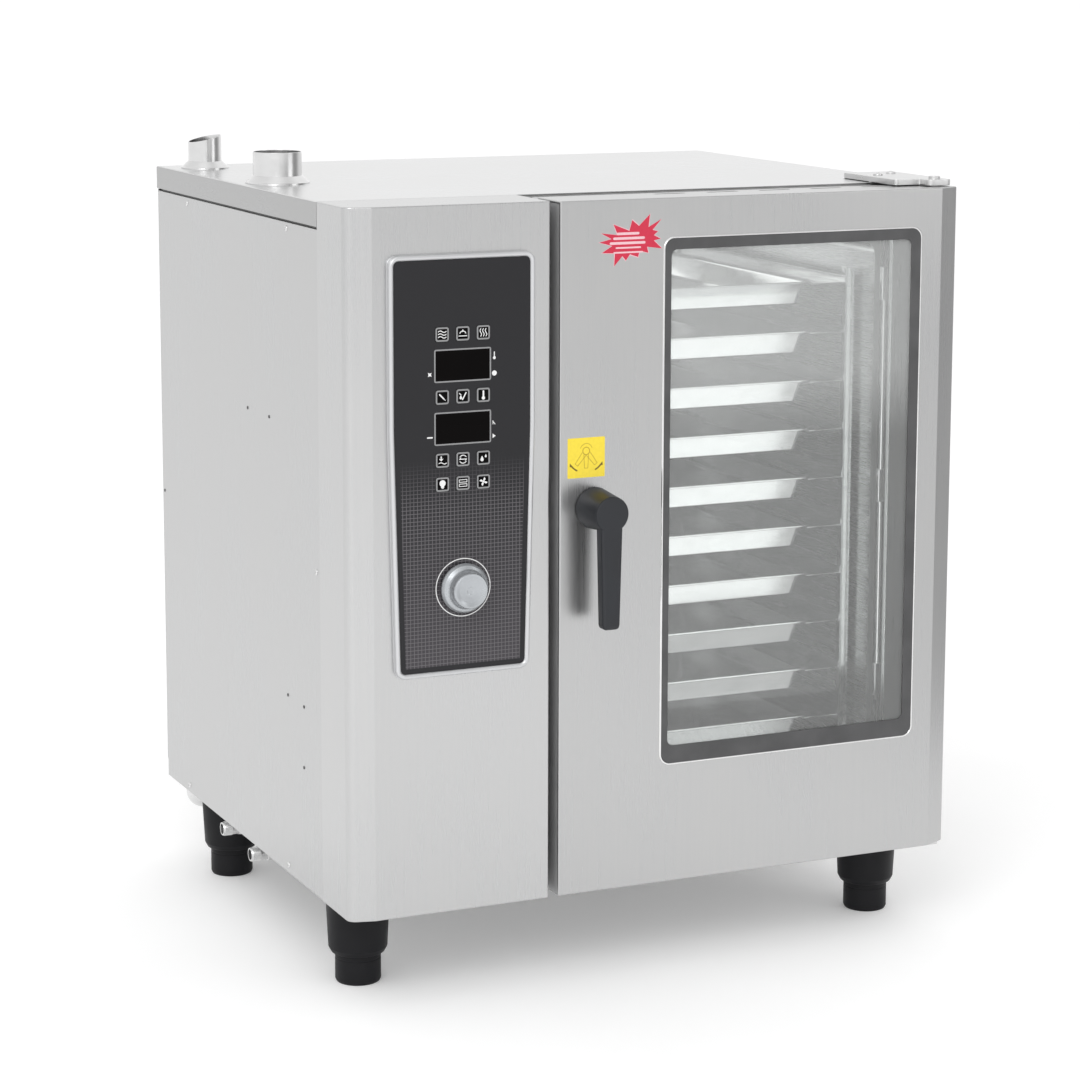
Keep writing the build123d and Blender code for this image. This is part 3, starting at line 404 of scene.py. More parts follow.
def inset(outline, by):
    """A closed outline moved inwards by a distance, point for point."""
    area = sum(a.cross(b) for a, b in zip(outline, outline[1:] + outline[:1]))
    inward = 1 if area > 0 else -1
    moved = []
    for i, point in enumerate(outline):
        first = (point - outline[i - 1]).normalized()
        second = (outline[(i + 1) % len(outline)] - point).normalized()
        normals = [Vector((-d.y, d.x)) * inward for d in (first, second)]
        mean = (normals[0] + normals[1]).normalized()
        moved.append(point + mean * by / max(0.3, mean.dot(normals[0])))
    return moved


PLACES = {
    "x": lambda u, v, w: (w, u, v),
    "y": lambda u, v, w: (u, w, v),
    "z": lambda u, v, w: (u, v, w),
}


def bridge(bm, first, second):
    """Faces between two rings of vertices; a ring of one vertex makes a fan."""
    count = max(len(first), len(second))
    for i in range(count):
        j = (i + 1) % count
        corners = [(first, i), (first, j), (second, j), (second, i)]
        bm.faces.new(list(dict.fromkeys(ring[at % len(ring)] for ring, at in corners)))


def loft(rings, closed=False):
    """A skin over rings of points, capped at both ends, or joined end to end where closed."""
    bm = bmesh.new()
    made = [[bm.verts.new(point) for point in ring] for ring in rings]
    for first, second in zip(made, made[1:]):
        bridge(bm, first, second)
    if closed:
        bridge(bm, made[-1], made[0])
    else:
        for ring in (made[0], made[-1]):
            if len(ring) > 2:
                bm.faces.new(ring)
    bmesh.ops.recalc_face_normals(bm, faces=bm.faces)
    return bm


def prism(outline, span_w, axis="z"):
    """A solid from a flat outline: (x, y) along z, (x, z) along y, or (y, z) along x."""
    place = PLACES[axis]
    return loft([[place(u, v, w) for u, v in outline] for w in span_w])


def ring_prism(outer, inner, span_w):
    """A solid between two outlines of x and z that have the same number of points."""
    place = PLACES["y"]
    low, high = span_w
    rings = ((outer, low), (outer, high), (inner, high), (inner, low))
    return loft([[place(u, v, w) for u, v in outline] for outline, w in rings], closed=True)


def rim(outer_profile, outline):
    """A rounded rim: the outline inset by each profile step, at each profile height, closed round."""
    place = PLACES["y"]
    return loft([[place(u, v, w) for u, v in inset(outline, by)] for by, w in outer_profile], closed=True)


def lathe(profile, centre, axis, steps=64, closed=False):
    """Turns (radius, distance along the axis) points round an axis."""
    axis = Vector(axis).normalized()
    side = axis.orthogonal().normalized()
    other = axis.cross(side)
    rings = []
    for radius, along in profile:
        foot = Vector(centre) + axis * along
        if radius < 1e-6:
            rings.append([foot])
            continue
        turns = [2 * pi * i / steps for i in range(steps)]
        rings.append([foot + (side * cos(t) + other * sin(t)) * radius for t in turns])
    return loft(rings, closed=closed)


def turned(points, radii, centre, axis, steps=64):
    """A lathe shape from a closed or axis-to-axis profile with rounded corners."""
    closed = points[0][0] > 0
    profile = [tuple(p) for p in rounded(points, radii, 5)]
    return lathe(profile, centre, axis, steps, closed)


def drill(centre, axis, radius, span_w, steps=32):
    """A plain round bar from one distance along its axis to another."""
    low, high = span_w
    return lathe([(0, low), (radius, low), (radius, high), (0, high)], centre, axis, steps)


def joined(*parts):
    """Several bmeshes as one."""
    whole = bmesh.new()
    for part in parts:
        mesh = bpy.data.meshes.new("part")
        part.to_mesh(mesh)
        part.free()
        whole.from_mesh(mesh)
        bpy.data.meshes.remove(mesh)
    return whole


def bevelled(bm, radius, segments=3, where=None):
    """Rounds the solid's edges, or those that where(middle of the edge, direction) picks."""
    picked = []
    for edge in bm.edges:
        if len(edge.link_faces) != 2 or edge.calc_face_angle() < radians(20):
            continue
        first, second = [vertex.co for vertex in edge.verts]
        if where is None or where((first + second) / 2, (second - first).normalized()):
            picked.append(edge)
    bmesh.ops.bevel(
        bm, geom=picked, offset=radius, offset_type="OFFSET", segments=segments, profile=0.5,
        affect="EDGES", clamp_overlap=True,
    )
    return bm


def block(x, y, z, radius=0.0, segments=3):
    """A box, with rounded edges where radius isn't zero."""
    bm = prism(rectangle(x, y), z)
    return bevelled(bm, radius, segments) if radius else bm


def carved(bm, *cutters):
    """The solid with the cutters taken out of it."""
    objects = []
    for name, shape in (("whole", bm), ("tool", joined(*cutters))):
        mesh = bpy.data.meshes.new(name)
        shape.to_mesh(mesh)
        shape.free()
        made = bpy.data.objects.new(name, mesh)
        bpy.context.scene.collection.objects.link(made)
        objects.append(made)
    whole, tool = objects
    cut = whole.modifiers.new("cut", "BOOLEAN")
    cut.operation = "DIFFERENCE"
    cut.solver = "EXACT"
    cut.use_self = True
    cut.object = tool
    result = bmesh.new()
    result.from_object(whole, bpy.context.evaluated_depsgraph_get())
    for made in objects:
        mesh = made.data
        bpy.data.objects.remove(made)
        bpy.data.meshes.remove(mesh)
    return result


def piece(name, bm, material, body=CABINET, replaces=(), smooth=32):
    """Turns a bmesh into an object of the visual model that rides on a body."""
    bm.transform(TO_FRAME)
    bmesh.ops.remove_doubles(bm, verts=bm.verts, dist=1e-7)
    mesh = bpy.data.meshes.new(name)
    bm.to_mesh(mesh)
    bm.free()
    for face in mesh.polygons:
        face.use_smooth = True
    mesh.set_sharp_from_angle(angle=radians(smooth))
    for used in material if isinstance(material, (list, tuple)) else [material]:
        mesh.materials.append(used)
    made = bpy.data.objects.new(name, mesh)
    bpy.context.scene.collection.objects.link(made)
    weighted = made.modifiers.new("flat_faces_stay_flat", "WEIGHTED_NORMAL")
    weighted.keep_sharp = True
    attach(made, body)
    if replaces:
        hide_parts(*([replaces] if isinstance(replaces, str) else replaces))
    return made


# ---- camera, light and floor ----
CAMERA_PLACE = (-1.8136, -3.9864, 1.3948)
CAMERA_YAW, CAMERA_PITCH, CAMERA_ROLL = 24.304, 9.117, 0.135
CAMERA_LENS = 101.72
CAMERA_SHIFT_Y = -0.1


def make_camera():
    data = bpy.data.cameras.new("camera")
    data.lens = CAMERA_LENS
    data.sensor_width = 36.0
    data.shift_y = CAMERA_SHIFT_Y
    data.clip_end = 200.0
    camera = bpy.data.objects.new("camera", data)
    turn = Matrix.Rotation(radians(-CAMERA_YAW), 4, "Z") @ Matrix.Rotation(radians(90 - CAMERA_PITCH), 4, "X")
    roll = Matrix.Rotation(radians(CAMERA_ROLL), 4, "Z")
    camera.matrix_world = Matrix.Translation(CAMERA_PLACE) @ turn @ roll
    bpy.context.scene.collection.objects.link(camera)
    bpy.context.scene.camera = camera


def area_light(name, place, target, size, watts):
    data = bpy.data.lights.new(name, "AREA")
    data.shape = "RECTANGLE"
    data.size, data.size_y = size
    data.energy = watts
    lamp = bpy.data.objects.new(name, data)
    lamp.location = place
    lamp.rotation_mode = "QUATERNION"
    lamp.rotation_quaternion = (Vector(place) - Vector(target)).to_track_quat("Z", "Y")
    bpy.context.scene.collection.objects.link(lamp)
    return lamp


def make_world():
    """A white room: in front the light falls off towards the right, behind it is even and bright."""
    world = bpy.data.worlds.new("studio")
    bpy.context.scene.world = world
    world.use_nodes = True
    room = Nodes(world.node_tree, "Generated")
    x, y, _ = room.axes()
    right = room.between(x, 0.66, 0.30, 0.62, 0.95)
    front = room.between(x, 1.12, right, 0.0, 0.36)
    back = room.between(x, 0.90, 1.08, -0.5, 0.1)
    background = next(n for n in room.nodes if n.type == "BACKGROUND")
    background.inputs["Color"].default_value = (1.0, 1.0, 1.0, 1.0)
    room.fill(background.inputs["Strength"], room.between(y, front, back, -0.2, 0.2))


FLOOR_HALF = 60.0
FLOOR_GLOW = 0.13
# Out of the picture, in front and to the right, painted shade darkens the floor, so that steel has something
# to show:
# by so much between two bearings in radians (0 is straight in front), and beyond a distance in metres.
FLOOR_SHADES = ((0.27, (0.25, 0.65)), (0.33, (0.7, 1.25)), (-0.60, (1.5, 2.0)))
FLOOR_SHADE_REACH = (1.3, 2.2)


def make_floor():
    """A pale floor with painted shade where only the steel sees it."""
    floor = Shader(
        "floor", (0.93, 0.93, 0.93), roughness=0.9, Emission_Color=(1.0, 1.0, 1.0, 1.0),
        Emission_Strength=FLOOR_GLOW,
    )
    x, y, _ = floor.axes()
    bearing = floor.math("ARCTAN2", x, floor.math("MULTIPLY", y, -1.0))
    squares = [floor.math("MULTIPLY", value, value) for value in (x, y)]
    distance = floor.math("SQRT", floor.math("ADD", *squares))
    dark = 0.0
    for amount, bearings in FLOOR_SHADES:
        dark = floor.math("MULTIPLY_ADD", floor.between(bearing, 0.0, 1.0, *bearings), amount, dark)
    dark = floor.math("MULTIPLY", dark, floor.between(distance, 0.0, 1.0, *FLOOR_SHADE_REACH))
    pale = floor.between(floor.noise(2.0), (0.92, 0.92, 0.92), (0.94, 0.94, 0.94))
    floor.feed("Base Color", floor.mix(dark, pale, (0.0, 0.0, 0.0, 1.0)))
    bm = bmesh.new()
    whole = (-FLOOR_HALF, FLOOR_HALF)
    bm.faces.new([bm.verts.new((x, y, CAD_BOUNDS[0].z)) for x, y in rectangle(whole, whole)])
    mesh = bpy.data.meshes.new("floor")
    bm.to_mesh(mesh)
    bm.free()
    mesh.materials.append(floor.material)
    plane = bpy.data.objects.new("floor", mesh)
    bpy.context.scene.collection.objects.link(plane)


def make_lights():
    """Two soft boxes in the room, and two unseen lights in the cavity that stand for its lamp."""
    area_light("key", (-2.6, -3.4, 3.4), (0, 0, 0.6), (2.4, 2.4), 52)
    area_light("fill", (3.2, -3.6, 2.2), (0, 0, 0.6), (2.0, 2.6), 20)
    roof = CORNER + Vector((TRAY_X, 420, 855)) * MM
    front = CORNER + Vector((TRAY_X, 118, 400)) * MM
    for lamp in (
        area_light("cavity_light", roof, roof - Vector((0, 0, 1)), (0.3, 0.4), 0.5),
        area_light("door_light", front, front + Vector((0, 1, 0)), (0.36, 0.7), 0.36),
    ):
        lamp.visible_camera = False
        lamp.visible_transmission = False


# ---- cabinet ----
SEAM_Y = LID_Y[0]
SPILL = 5.0
FOLD_RADIUS = 1.8
COLUMN_CHAMFER_X, COLUMN_CHAMFER_Y = 34.6, 8.6


def folds(back):
    """Picks a shell's level edges, except those at its open back end."""
    return lambda at, along: abs(along.z) < 0.1 and at.y < back - 1


def make_column():
    """The folded column cover: a soft bend at the side, sharper ones at the front, open at the back."""
    (left, right), (front, back) = COLUMN_X, COLUMN_Y
    outer_corners = [
        (left, back), (left, COLUMN_CHAMFER_Y), (COLUMN_CHAMFER_X, front), (right, front), (right, back),
    ]
    inner_corners = [
        (SHEET, back + SPILL), (SHEET, COLUMN_CHAMFER_Y + SHEET), (COLUMN_CHAMFER_X, SHEET),
        (right - SHEET, SHEET), (right - SHEET, back + SPILL),
    ]
    shell = prism(rounded(outer_corners, (0, 14, 4, 2.5, 0), 8), COLUMN_Z)
    shell = bevelled(shell, FOLD_RADIUS, 3, folds(back))
    hollow = prism(rounded(inner_corners, (0, 12.5, 2.5, 1, 0), 8), shrunk(COLUMN_Z, SHEET))
    shell = carved(shell, hollow)
    piece("column_cover_shell", shell, COLUMN_STEEL, replaces="column_cover")


# Each exhaust pipe's x, y, radius and height, and how far its top slants down to the left.
VENTS = ((57.0, 419.0, 34.0, 44.0, 0.0), (53.0, 730.0, 24.5, 50.0, 12.0))
LID_NOTCH = ((826.0, 915.0), (90.0, 188.0))


def make_lid():
    """The lid: a shallow tray upside down, with a sharp bright fold and a notch for the hinge."""
    shell = block(LID_X, (SEAM_Y, LID_Y[1]), LID_Z)
    shell = bevelled(shell, 2.2, 3, lambda at, along: at.z > LID_Z[1] - 1 and at.y > SEAM_Y + 1)
    hollow = block(
        shrunk(LID_X, SHEET), (SEAM_Y - SPILL, LID_Y[1] - SHEET), (LID_Z[0] - SPILL, LID_Z[1] - SHEET),
    )
    notch = prism(rectangle(*LID_NOTCH, 6), (LID_Z[1] - 8, LID_Z[1] + SPILL))
    holes = [drill((x, y, HEIGHT), UP, r + 0.5, (-10, 10), 48) for x, y, r, _, _ in VENTS]
    shell = carved(shell, hollow, notch, *holes)
    lid = piece("lid", shell, [LID_TOP_PAINTED_LIGHT_STEEL, LID_SIDES_PAINTED_SHADE_STEEL], replaces="top_cover")
    # Painted shade: the lid's upright sides take the darker tone of the same steel.
    for face in lid.data.polygons:
        if abs(face.normal.z) < 0.5:
            face.material_index = 1


def make_side_panels():
    """The side sheets, their edges folded in, with a gap under the lid's flange and a dark strip behind it:
    painted shadow.
    """
    gap, fold = 3.5, 14.0
    front, back, top = SEAM_Y + 0.6, LID_Y[1] - SHEET, LID_Z[0] - gap
    for name, face, inward in (("left_side_panel", SHEET, 1), ("right_side_panel", WIDTH - SHEET, -1)):
        across = sorted((face, face + inward * fold))
        panel = block(across, (front, back), (0, top), 1.4, 3)
        across = sorted((face + inward * SHEET, face + inward * (fold + SPILL)))
        hollow = block(across, (front + SHEET, back - SHEET), (-SPILL, top - SHEET))
        piece(f"{name}_sheet", carved(panel, hollow), SIDE_STEEL, replaces=name)
        # Painted shadow: a strip of the dark shadow steel in the gap under the lid's flange.
        across = sorted((face + inward * 4, face + inward * 5.5))
        shadow_strip = block(across, (SEAM_Y + 4, LID_Y[1] - 6), (top - 6, LID_Z[0] + 8))
        piece(f"{name}_gap_painted_shadow", shadow_strip, SHADOW_STEEL)


LOUVRE_X = (67.0, 233.0)
LOUVRE_HEIGHTS = [600.0 + 20 * row for row in range(12)]
LOUVRE_RISE = 4.5
GLAND_PLACE = (100.0, LID_Y[1], 90.0)


def make_rear_panel():
    """The back sheet, with a column of pressed louvres over the electrical side."""
    y = (LID_Y[1] - SHEET, LID_Y[1])
    through = (y[0] - SPILL, y[1] + SPILL)
    panel = block((SHEET, WIDTH - SHEET), y, (0, LID_Z[0] - 1), 0.6, 2)
    cutters = [
        prism(rectangle((-SPILL, 57), (-SPILL, 27), 8), through, "y"),
        drill((GLAND_PLACE[0], y[0], GLAND_PLACE[2]), BACK, 12.2, (-5, 8), 40),
    ]
    cutters += [prism(rectangle(LOUVRE_X, (z - 3, z + 3), 2.9), through, "y") for z in LOUVRE_HEIGHTS]
    panel = carved(panel, *cutters)
    hoods = []
    start, length = LOUVRE_X[0] - 2, LOUVRE_X[1] - LOUVRE_X[0] + 4
    foot, lip = y[1] - 0.3, y[1] - 0.2
    for z in LOUVRE_HEIGHTS:
        rings = []
        for share in (0.0, 0.08, 0.25, 0.75, 0.92, 1.0):
            rise = sin(pi * min(1.0, share / 0.25, (1 - share) / 0.25) / 2)
            x = start + length * share
            out = lip + LOUVRE_RISE * rise
            rings.append([(x, foot, z + 6), (x, out, z - 0.5), (x, out, z - 2), (x, foot, z + 3.5)])
        hoods.append(loft(rings))
    panel = joined(panel, *hoods)
    piece("rear_panel_sheet", panel, COLUMN_STEEL, replaces="rear_panel")


def screw(centre, axis, radius=4.2, height=2.0):
    """A domed screw head with a cross recess."""
    dome = [(0, 0), (radius, 0), (radius - 0.2, height * 0.45), (0, height)]
    head = turned(dome, (0, 0.2, 1.2, 0), centre, axis, 24)
    axis = Vector(axis)
    side = Vector(UP) if abs(axis.z) < 0.5 else Vector(BACK)
    other = axis.cross(side)
    top = Vector(centre) + axis * height
    reach, half = radius * 0.55, radius * 0.12
    arms = []
    for along, across in ((side, other), (other, side)):
        ends = (
            top - along * reach - across * half - axis * 0.9,
            top + along * reach + across * half + axis * 0.5,
        )
        arms.append(block(*[sorted(pair) for pair in zip(*ends)]))
    return carved(head, *arms)


# The side sheets' screws and the left one's rivets, as (y, z); the back sheet's screws in a grid.
SIDE_SCREWS = ((659.0, 895.0), (229.0, 895.0), (690.0, 12.0), (246.0, 12.0), (124.0, 448.0))
SIDE_RIVETS = (
    (397.0, 630.0), (307.0, 630.0), (791.0, 448.0), (242.0, 254.0), (178.0, 252.0), (180.0, 167.0),
)
BACK_SCREWS_X, BACK_SCREWS_Z = (20.0, 275.0, 600.0, 890.0), (70.0, 480.0, 890.0)


def make_screws():
    heads = []
    for face, inward in ((SHEET, 1), (WIDTH - SHEET, -1)):
        heads += [screw((face, y, z), (-inward, 0, 0)) for y, z in SIDE_SCREWS]
    for x in BACK_SCREWS_X:
        heads += [screw((x, LID_Y[1], z), BACK) for z in BACK_SCREWS_Z]
    piece("cover_screw_heads", joined(*heads), SCREW_STEEL, replaces="cover_screws")
    dome = [(0, 0), (2.4, 0), (2.4, 0.7), (0, 1.1)]
    rivets = [turned(dome, (0, 0, 0.6, 0), (SHEET, y, z), (-1, 0, 0), 20) for y, z in SIDE_RIVETS]
    piece("side_rivets", joined(*rivets), SHADOW_STEEL)


def make_vents():
    """Two exhaust pipes with wall thickness, rolled tops and flared skirts."""
    below, skirt, wall = -60.0, 11.0, 1.5
    parts = []
    for x, y, r, height, slant in VENTS:
        foot = (x, y, HEIGHT)
        walls = [(r, below), (r, height), (r - wall, height), (r - wall, below)]
        tube = turned(walls, (0, 0.5, 0.5, 0), foot, UP, 72)
        if slant:
            low, high, top = x - r - 3, x + r + 3, HEIGHT + height
            wedge = [Vector(p) for p in ((low, top - slant), (high, top), (low, top + 20))]
            tube = carved(tube, prism(wedge, (y - r - 3, y + r + 3), "y"))
        flare = turned(
            [(r, skirt), (r + 0.9, skirt), (r + skirt - 1, 2.4), (r + skirt, 2.0), (r + skirt, 0), (r, 0)],
            (0, 0.4, 2.0, 0.3, 0, 0), foot, UP, 72,
        )
        parts += [tube, flare]
    piece("exhaust_pipes", joined(*parts), PIPE_STEEL, replaces="vent_pipes")


DRAIN_X, DRAIN_Y, DRAIN_Z = 36.0, 733.0, -1.0
DRAIN_PIPE_R, DRAIN_SPIGOT_R, DRAIN_WALL = 20.9, 20.0, 1.5
DRAIN_BOWL_Z, DRAIN_BOWL_R = -11.0, 25.5
DRAIN_RISE = 71.0


def make_drain():
    """The waste pipe: a pipe down into a round bowl, and an outlet with a stop shoulder at the back."""
    end = (CAD_BOUNDS[1].y - CORNER.y) / MM - DRAIN_Y
    stop = LID_Y[1] + 2 - DRAIN_Y
    outside, bore = DRAIN_PIPE_R, DRAIN_SPIGOT_R - DRAIN_WALL
    walls = [
        (outside, 4), (outside, stop), (DRAIN_SPIGOT_R, stop), (DRAIN_SPIGOT_R, end), (bore, end), (bore, 4),
    ]
    outlet = turned(walls, (0, 0.6, 0, 0.5, 0.5, 0), (DRAIN_X, DRAIN_Y, DRAIN_Z), BACK, 64)
    centre, bore = (DRAIN_X, DRAIN_Y, DRAIN_BOWL_Z), outside - DRAIN_WALL
    walls = [(outside, 4), (outside, DRAIN_RISE), (bore, DRAIN_RISE), (bore, 4)]
    down = turned(walls, (0, 0.5, 0.5, 0), centre, UP, 64)
    turns = [radians(t) for t in range(-84, 50, 6)]
    radii = (DRAIN_BOWL_R, DRAIN_BOWL_R - DRAIN_WALL)
    outer, inner = [[(r * cos(t), r * sin(t)) for t in turns] for r in radii]
    bowl = lathe([(0, -radii[0]), *outer, *inner[::-1], (0, -radii[1])], centre, UP, 64)
    piece("drain_trap", joined(outlet, down, bowl), PIPE_STEEL, replaces="drain_pipe")


INLETS = ((414.0, -20.5), (540.0, -16.5))
INLET_R, INLET_BORE_R = 10.5, 7.5
THREAD_DEPTH, THREAD_PITCH, THREAD_TURNS = 0.7, 1.8, 7


def make_inlets():
    """Two solenoid water connections: a threaded stub, a nut and the valve's plastic body."""
    metal, bodies = [], []
    root, nut_r = INLET_R - THREAD_DEPTH, INLET_R + 2
    for y, z in INLETS:
        profile = [(0, 13), (INLET_BORE_R, 13), (INLET_BORE_R, 0), (INLET_R - 1.0, 0), (root, 0.8)]
        for ridge in range(THREAD_TURNS):
            start = 2.2 + ridge * THREAD_PITCH
            profile += [(INLET_R, start + 0.5), (INLET_R, start + 0.8), (root, start + 1.6)]
        profile += [(root, 24), (0, 24)]
        metal.append(lathe(profile, (2, y, z), RIGHT, 48))
        nut = [(0, 26), (nut_r - 1, 26), (nut_r, 27), (nut_r, 33), (nut_r - 1, 34), (0, 34)]
        metal.append(lathe(nut, (0, y, z), RIGHT, 6))
        bodies.append(block((34, 112), (y - 12, y + 12), (z - INLET_R + 1, -SHEET), 2.5))
        bodies.append(turned([(0, 0), (12, 0), (12, 60), (0, 60)], (0, 0, 2, 0), (98, y, -SHEET), UP, 32))
    piece("water_inlet_stubs", joined(*metal), NICKEL, replaces="water_inlets")
    piece("water_valve_bodies", joined(*bodies), CONTACTOR_GREY)


def make_gland():
    """The cable gland: hexagon, domed nut with ribs, rubber bore."""
    bore, ribs_round = 7, 12
    body = lathe([(bore, -14), (12, -14), (12, 0), (bore, 0)], GLAND_PLACE, BACK, 32, True)
    hexagon = [(bore, 0), (17, 0), (17.8, 1), (17.8, 7), (17, 8), (bore, 8)]
    nut = lathe(hexagon, GLAND_PLACE, BACK, 6, True)
    dome = [(bore, 8), (15, 8), (14.6, 14), (11, 20), (bore, 20)]
    parts = [body, nut, turned(dome, (0, 0.5, 3, 2, 0.6), GLAND_PLACE, BACK, 40)]
    for i in range(ribs_round):
        rib = block((-0.8, 0.8), (8.4, 13), (13.6, 15.6), 0.3, 2)
        rib.transform(Matrix.Translation(GLAND_PLACE) @ Matrix.Rotation(2 * pi * i / ribs_round, 4, "Y"))
        parts.append(rib)
    piece("supply_gland", joined(*parts), GLAND_PLASTIC, replaces="cable_gland")


FOOT_PLACES = {
    "front_left": (58.0, 129.0), "front_right": (WIDTH - 58, 129.0),
    "rear_left": (58.0, 665.0), "rear_right": (WIDTH - 58, 665.0),
}


SLEEVE_TOP_R, SLEEVE_BOTTOM_R, SLEEVE_BORE_R, SLEEVE_FOOT = 44.0, 40.2, 31.8, -81.5
INSERT_R, INSERT_TOP, INSERT_GROOVE = 31.3, -30.0, (-88.0, -90.4)


def make_feet():
    """Tapered sleeves with a chamfered lower rim, and round inserts with a groove and a soft foot."""
    ground = (CAD_BOUNDS[0].z - CORNER.z) / MM
    sleeve = [
        (SLEEVE_BORE_R, 0), (SLEEVE_TOP_R, 0), (SLEEVE_TOP_R - 0.2, -3), (SLEEVE_BOTTOM_R, SLEEVE_FOOT + 7.5),
        (SLEEVE_BOTTOM_R - 4, SLEEVE_FOOT), (SLEEVE_BORE_R, SLEEVE_FOOT),
    ]
    upper, lower = INSERT_GROOVE
    insert = [
        (0, INSERT_TOP), (INSERT_R, INSERT_TOP), (INSERT_R, upper), (INSERT_R - 0.5, upper - 0.6),
        (INSERT_R - 0.5, lower + 0.6), (INSERT_R, lower), (INSERT_R, ground + 4), (INSERT_R - 1.8, ground),
        (0, ground),
    ]
    sleeves = []
    for name, (x, y) in FOOT_PLACES.items():
        sleeves.append(turned(sleeve, (0, 0.6, 4, 3.5, 2.5, 0.3), (x, y, 0), UP, 72))
        shape = turned(insert, (0, 1, 0.2, 0.2, 0.2, 0.2, 3, 1.5, 0), (x, y, 0), UP, 72)
        piece(
            f"foot_{name}_insert", shape, FOOT_PLASTIC, body=f"foot_{name}",
            replaces=f"foot_insert_{name}",
        )
    sleeves = joined(*sleeves)
    piece("foot_sleeve_mouldings", sleeves, FOOT_PLASTIC, replaces="foot_sleeves")


HINGE_PIN = (886.0, 36.0)
HINGE_PLATE_X, HINGE_PLATE_Y, HINGE_PLATE = (828.0, 906.0), (44.0, 186.0), 8.0
HINGE_EAR_X, HINGE_EAR_FRONT = 868.0, 20.0
HINGE_SCREWS = ((850.0, 128.0), (884.0, 150.0))


def make_upper_hinge():
    """The upper hinge arm: a thick plate with rounded corners, its lip, its screws and its pin."""
    (left, right), (front, back) = HINGE_PLATE_X, HINGE_PLATE_Y
    under = DOOR_Z[1] + 1.5
    top = under + HINGE_PLATE
    corners = [
        (left, back), (left, front), (HINGE_EAR_X, front), (HINGE_EAR_X, HINGE_EAR_FRONT),
        (right, HINGE_EAR_FRONT), (right, back),
    ]
    plate = bevelled(prism(rounded(corners, (2, 6, 3, 9, 9, 2), 6), (under, top)), 0.8, 2)
    lip = block(HINGE_PLATE_X, (SEAM_Y + 2, SEAM_Y + 8), (DOOR_Z[1] - 40, under + 1), 0.6, 2)
    pin = turned([(0, -24), (8, -24), (8, 9), (0, 9)], (0, 1, 0.6, 0), (*HINGE_PIN, top - 5), UP, 32)
    screws = [screw((x, y, top), UP, 7.0, 4.0) for x, y in HINGE_SCREWS]
    parts = joined(plate, lip, pin, *screws)
    piece("upper_hinge_arm", parts, HINGE_STEEL, replaces="hinge_bracket_upper")


# ---- door ----
WINDOW_X, WINDOW_Z = shrunk(GLASS_X, -3.2), shrunk(GLASS_Z, -3.2)
WINDOW_CORNER = 14.0
BAND = {"left": 9.5, "right": 15.0, "bottom": 25.0, "top": 15.0}
DOOR_CHAMFER = (32.2, 15.0)
LATCH_SLOT_Y, LATCH_SLOT_Z = (68.0, 80.0), (486.0, 574.0)
HANDLE_AXIS_X, HANDLE_AXIS_Z = 348.7, 530.0
BACK_OPENING = rectangle((372, 844), (140, 885), 16, 8)


def door_corners(by, back):
    """The door's plan, moved inwards all round but at its back."""
    (left, right), (chamfer_x, chamfer_y) = DOOR_X, DOOR_CHAMFER
    draw = chamfer_y / chamfer_x / 2
    return [
        (left + by, back), (left + by, by), (right - chamfer_x - by * draw, by),
        (right - by, chamfer_y + by * (1 - draw)), (right - by, back),
    ]


def window_outline(by=0.0):
    return rectangle(shrunk(WINDOW_X, by), shrunk(WINDOW_Z, by), WINDOW_CORNER, 8)


DOOR_SLOTS_X = [462.0 + 80 * i for i in range(5)]


def make_door_shell():
    """The door's outer pan: folded edges, cooling slots in its top, and the window's opening."""
    shell = prism(rounded(door_corners(0, DOOR_Y[1]), (0, 2.2, 3.5, 3.5, 0), 6), DOOR_Z)
    shell = bevelled(shell, FOLD_RADIUS, 3, folds(DOOR_Y[1]))
    corners = door_corners(SHEET, DOOR_Y[1] + SPILL)
    cutters = [
        prism(rounded(corners, (0, 1, 2, 2, 0), 6), shrunk(DOOR_Z, SHEET)),
        prism(window_outline(), (-SPILL, SHEET + SPILL), "y"),
    ]
    for x in DOOR_SLOTS_X:
        cutters.append(prism(rectangle((x, x + 48), (54, 62), 3.9), (DOOR_Z[1] - 4, DOOR_Z[1] + SPILL)))
    for z in (DOOR_Z[0] - 2, DOOR_Z[1] - 4):
        cutters.append(drill((*HINGE_PIN, z), UP, 8.3, (0, 7)))
    cutters.append(drill((HANDLE_AXIS_X, -3, HANDLE_AXIS_Z), BACK, 8.2, (0, 6)))
    cutters.append(block((DOOR_X[0] - SPILL, DOOR_X[0] + 6), LATCH_SLOT_Y, LATCH_SLOT_Z))
    piece("door_shell", carved(shell, *cutters), DOOR_STEEL, DOOR, "door_skin")
    # Painted light: a thin pale sheet over the door's left side face, in the gap by the column.
    fold = block((DOOR_X[0] - 0.15, DOOR_X[0] + 0.1), (4, DOOR_Y[1] - 4), shrunk(DOOR_Z, 4))
    piece("door_left_side_painted_light", fold, DOOR_SIDE_PAINTED_LIGHT, DOOR)


def make_door_back():
    """The inner pan of the door, with its opening for the inner pane and a stiffening step around it."""
    x, y, z = span("door_inner_frame")
    pan = bevelled(block(x, y, z), 2.0, 3, lambda at, along: at.y > y[0] + 1)
    hollow = block(shrunk(x, SHEET), (y[0] - SPILL, y[1] - SHEET), shrunk(z, SHEET))
    latch = block((DOOR_X[0] - SPILL, DOOR_X[0] + 8), LATCH_SLOT_Y, LATCH_SLOT_Z)
    pan = carved(pan, hollow, prism(BACK_OPENING, (y[1] - SPILL, y[1] + SPILL), "y"), latch)
    low, high = y[1] - 0.2, y[1] + 0.8
    step = rim([(-0.2, low), (-7, low), (-6, high), (-1, high)], BACK_OPENING)
    piece("door_back_pan", joined(pan, step), DOOR_STEEL, DOOR, "door_inner_frame")


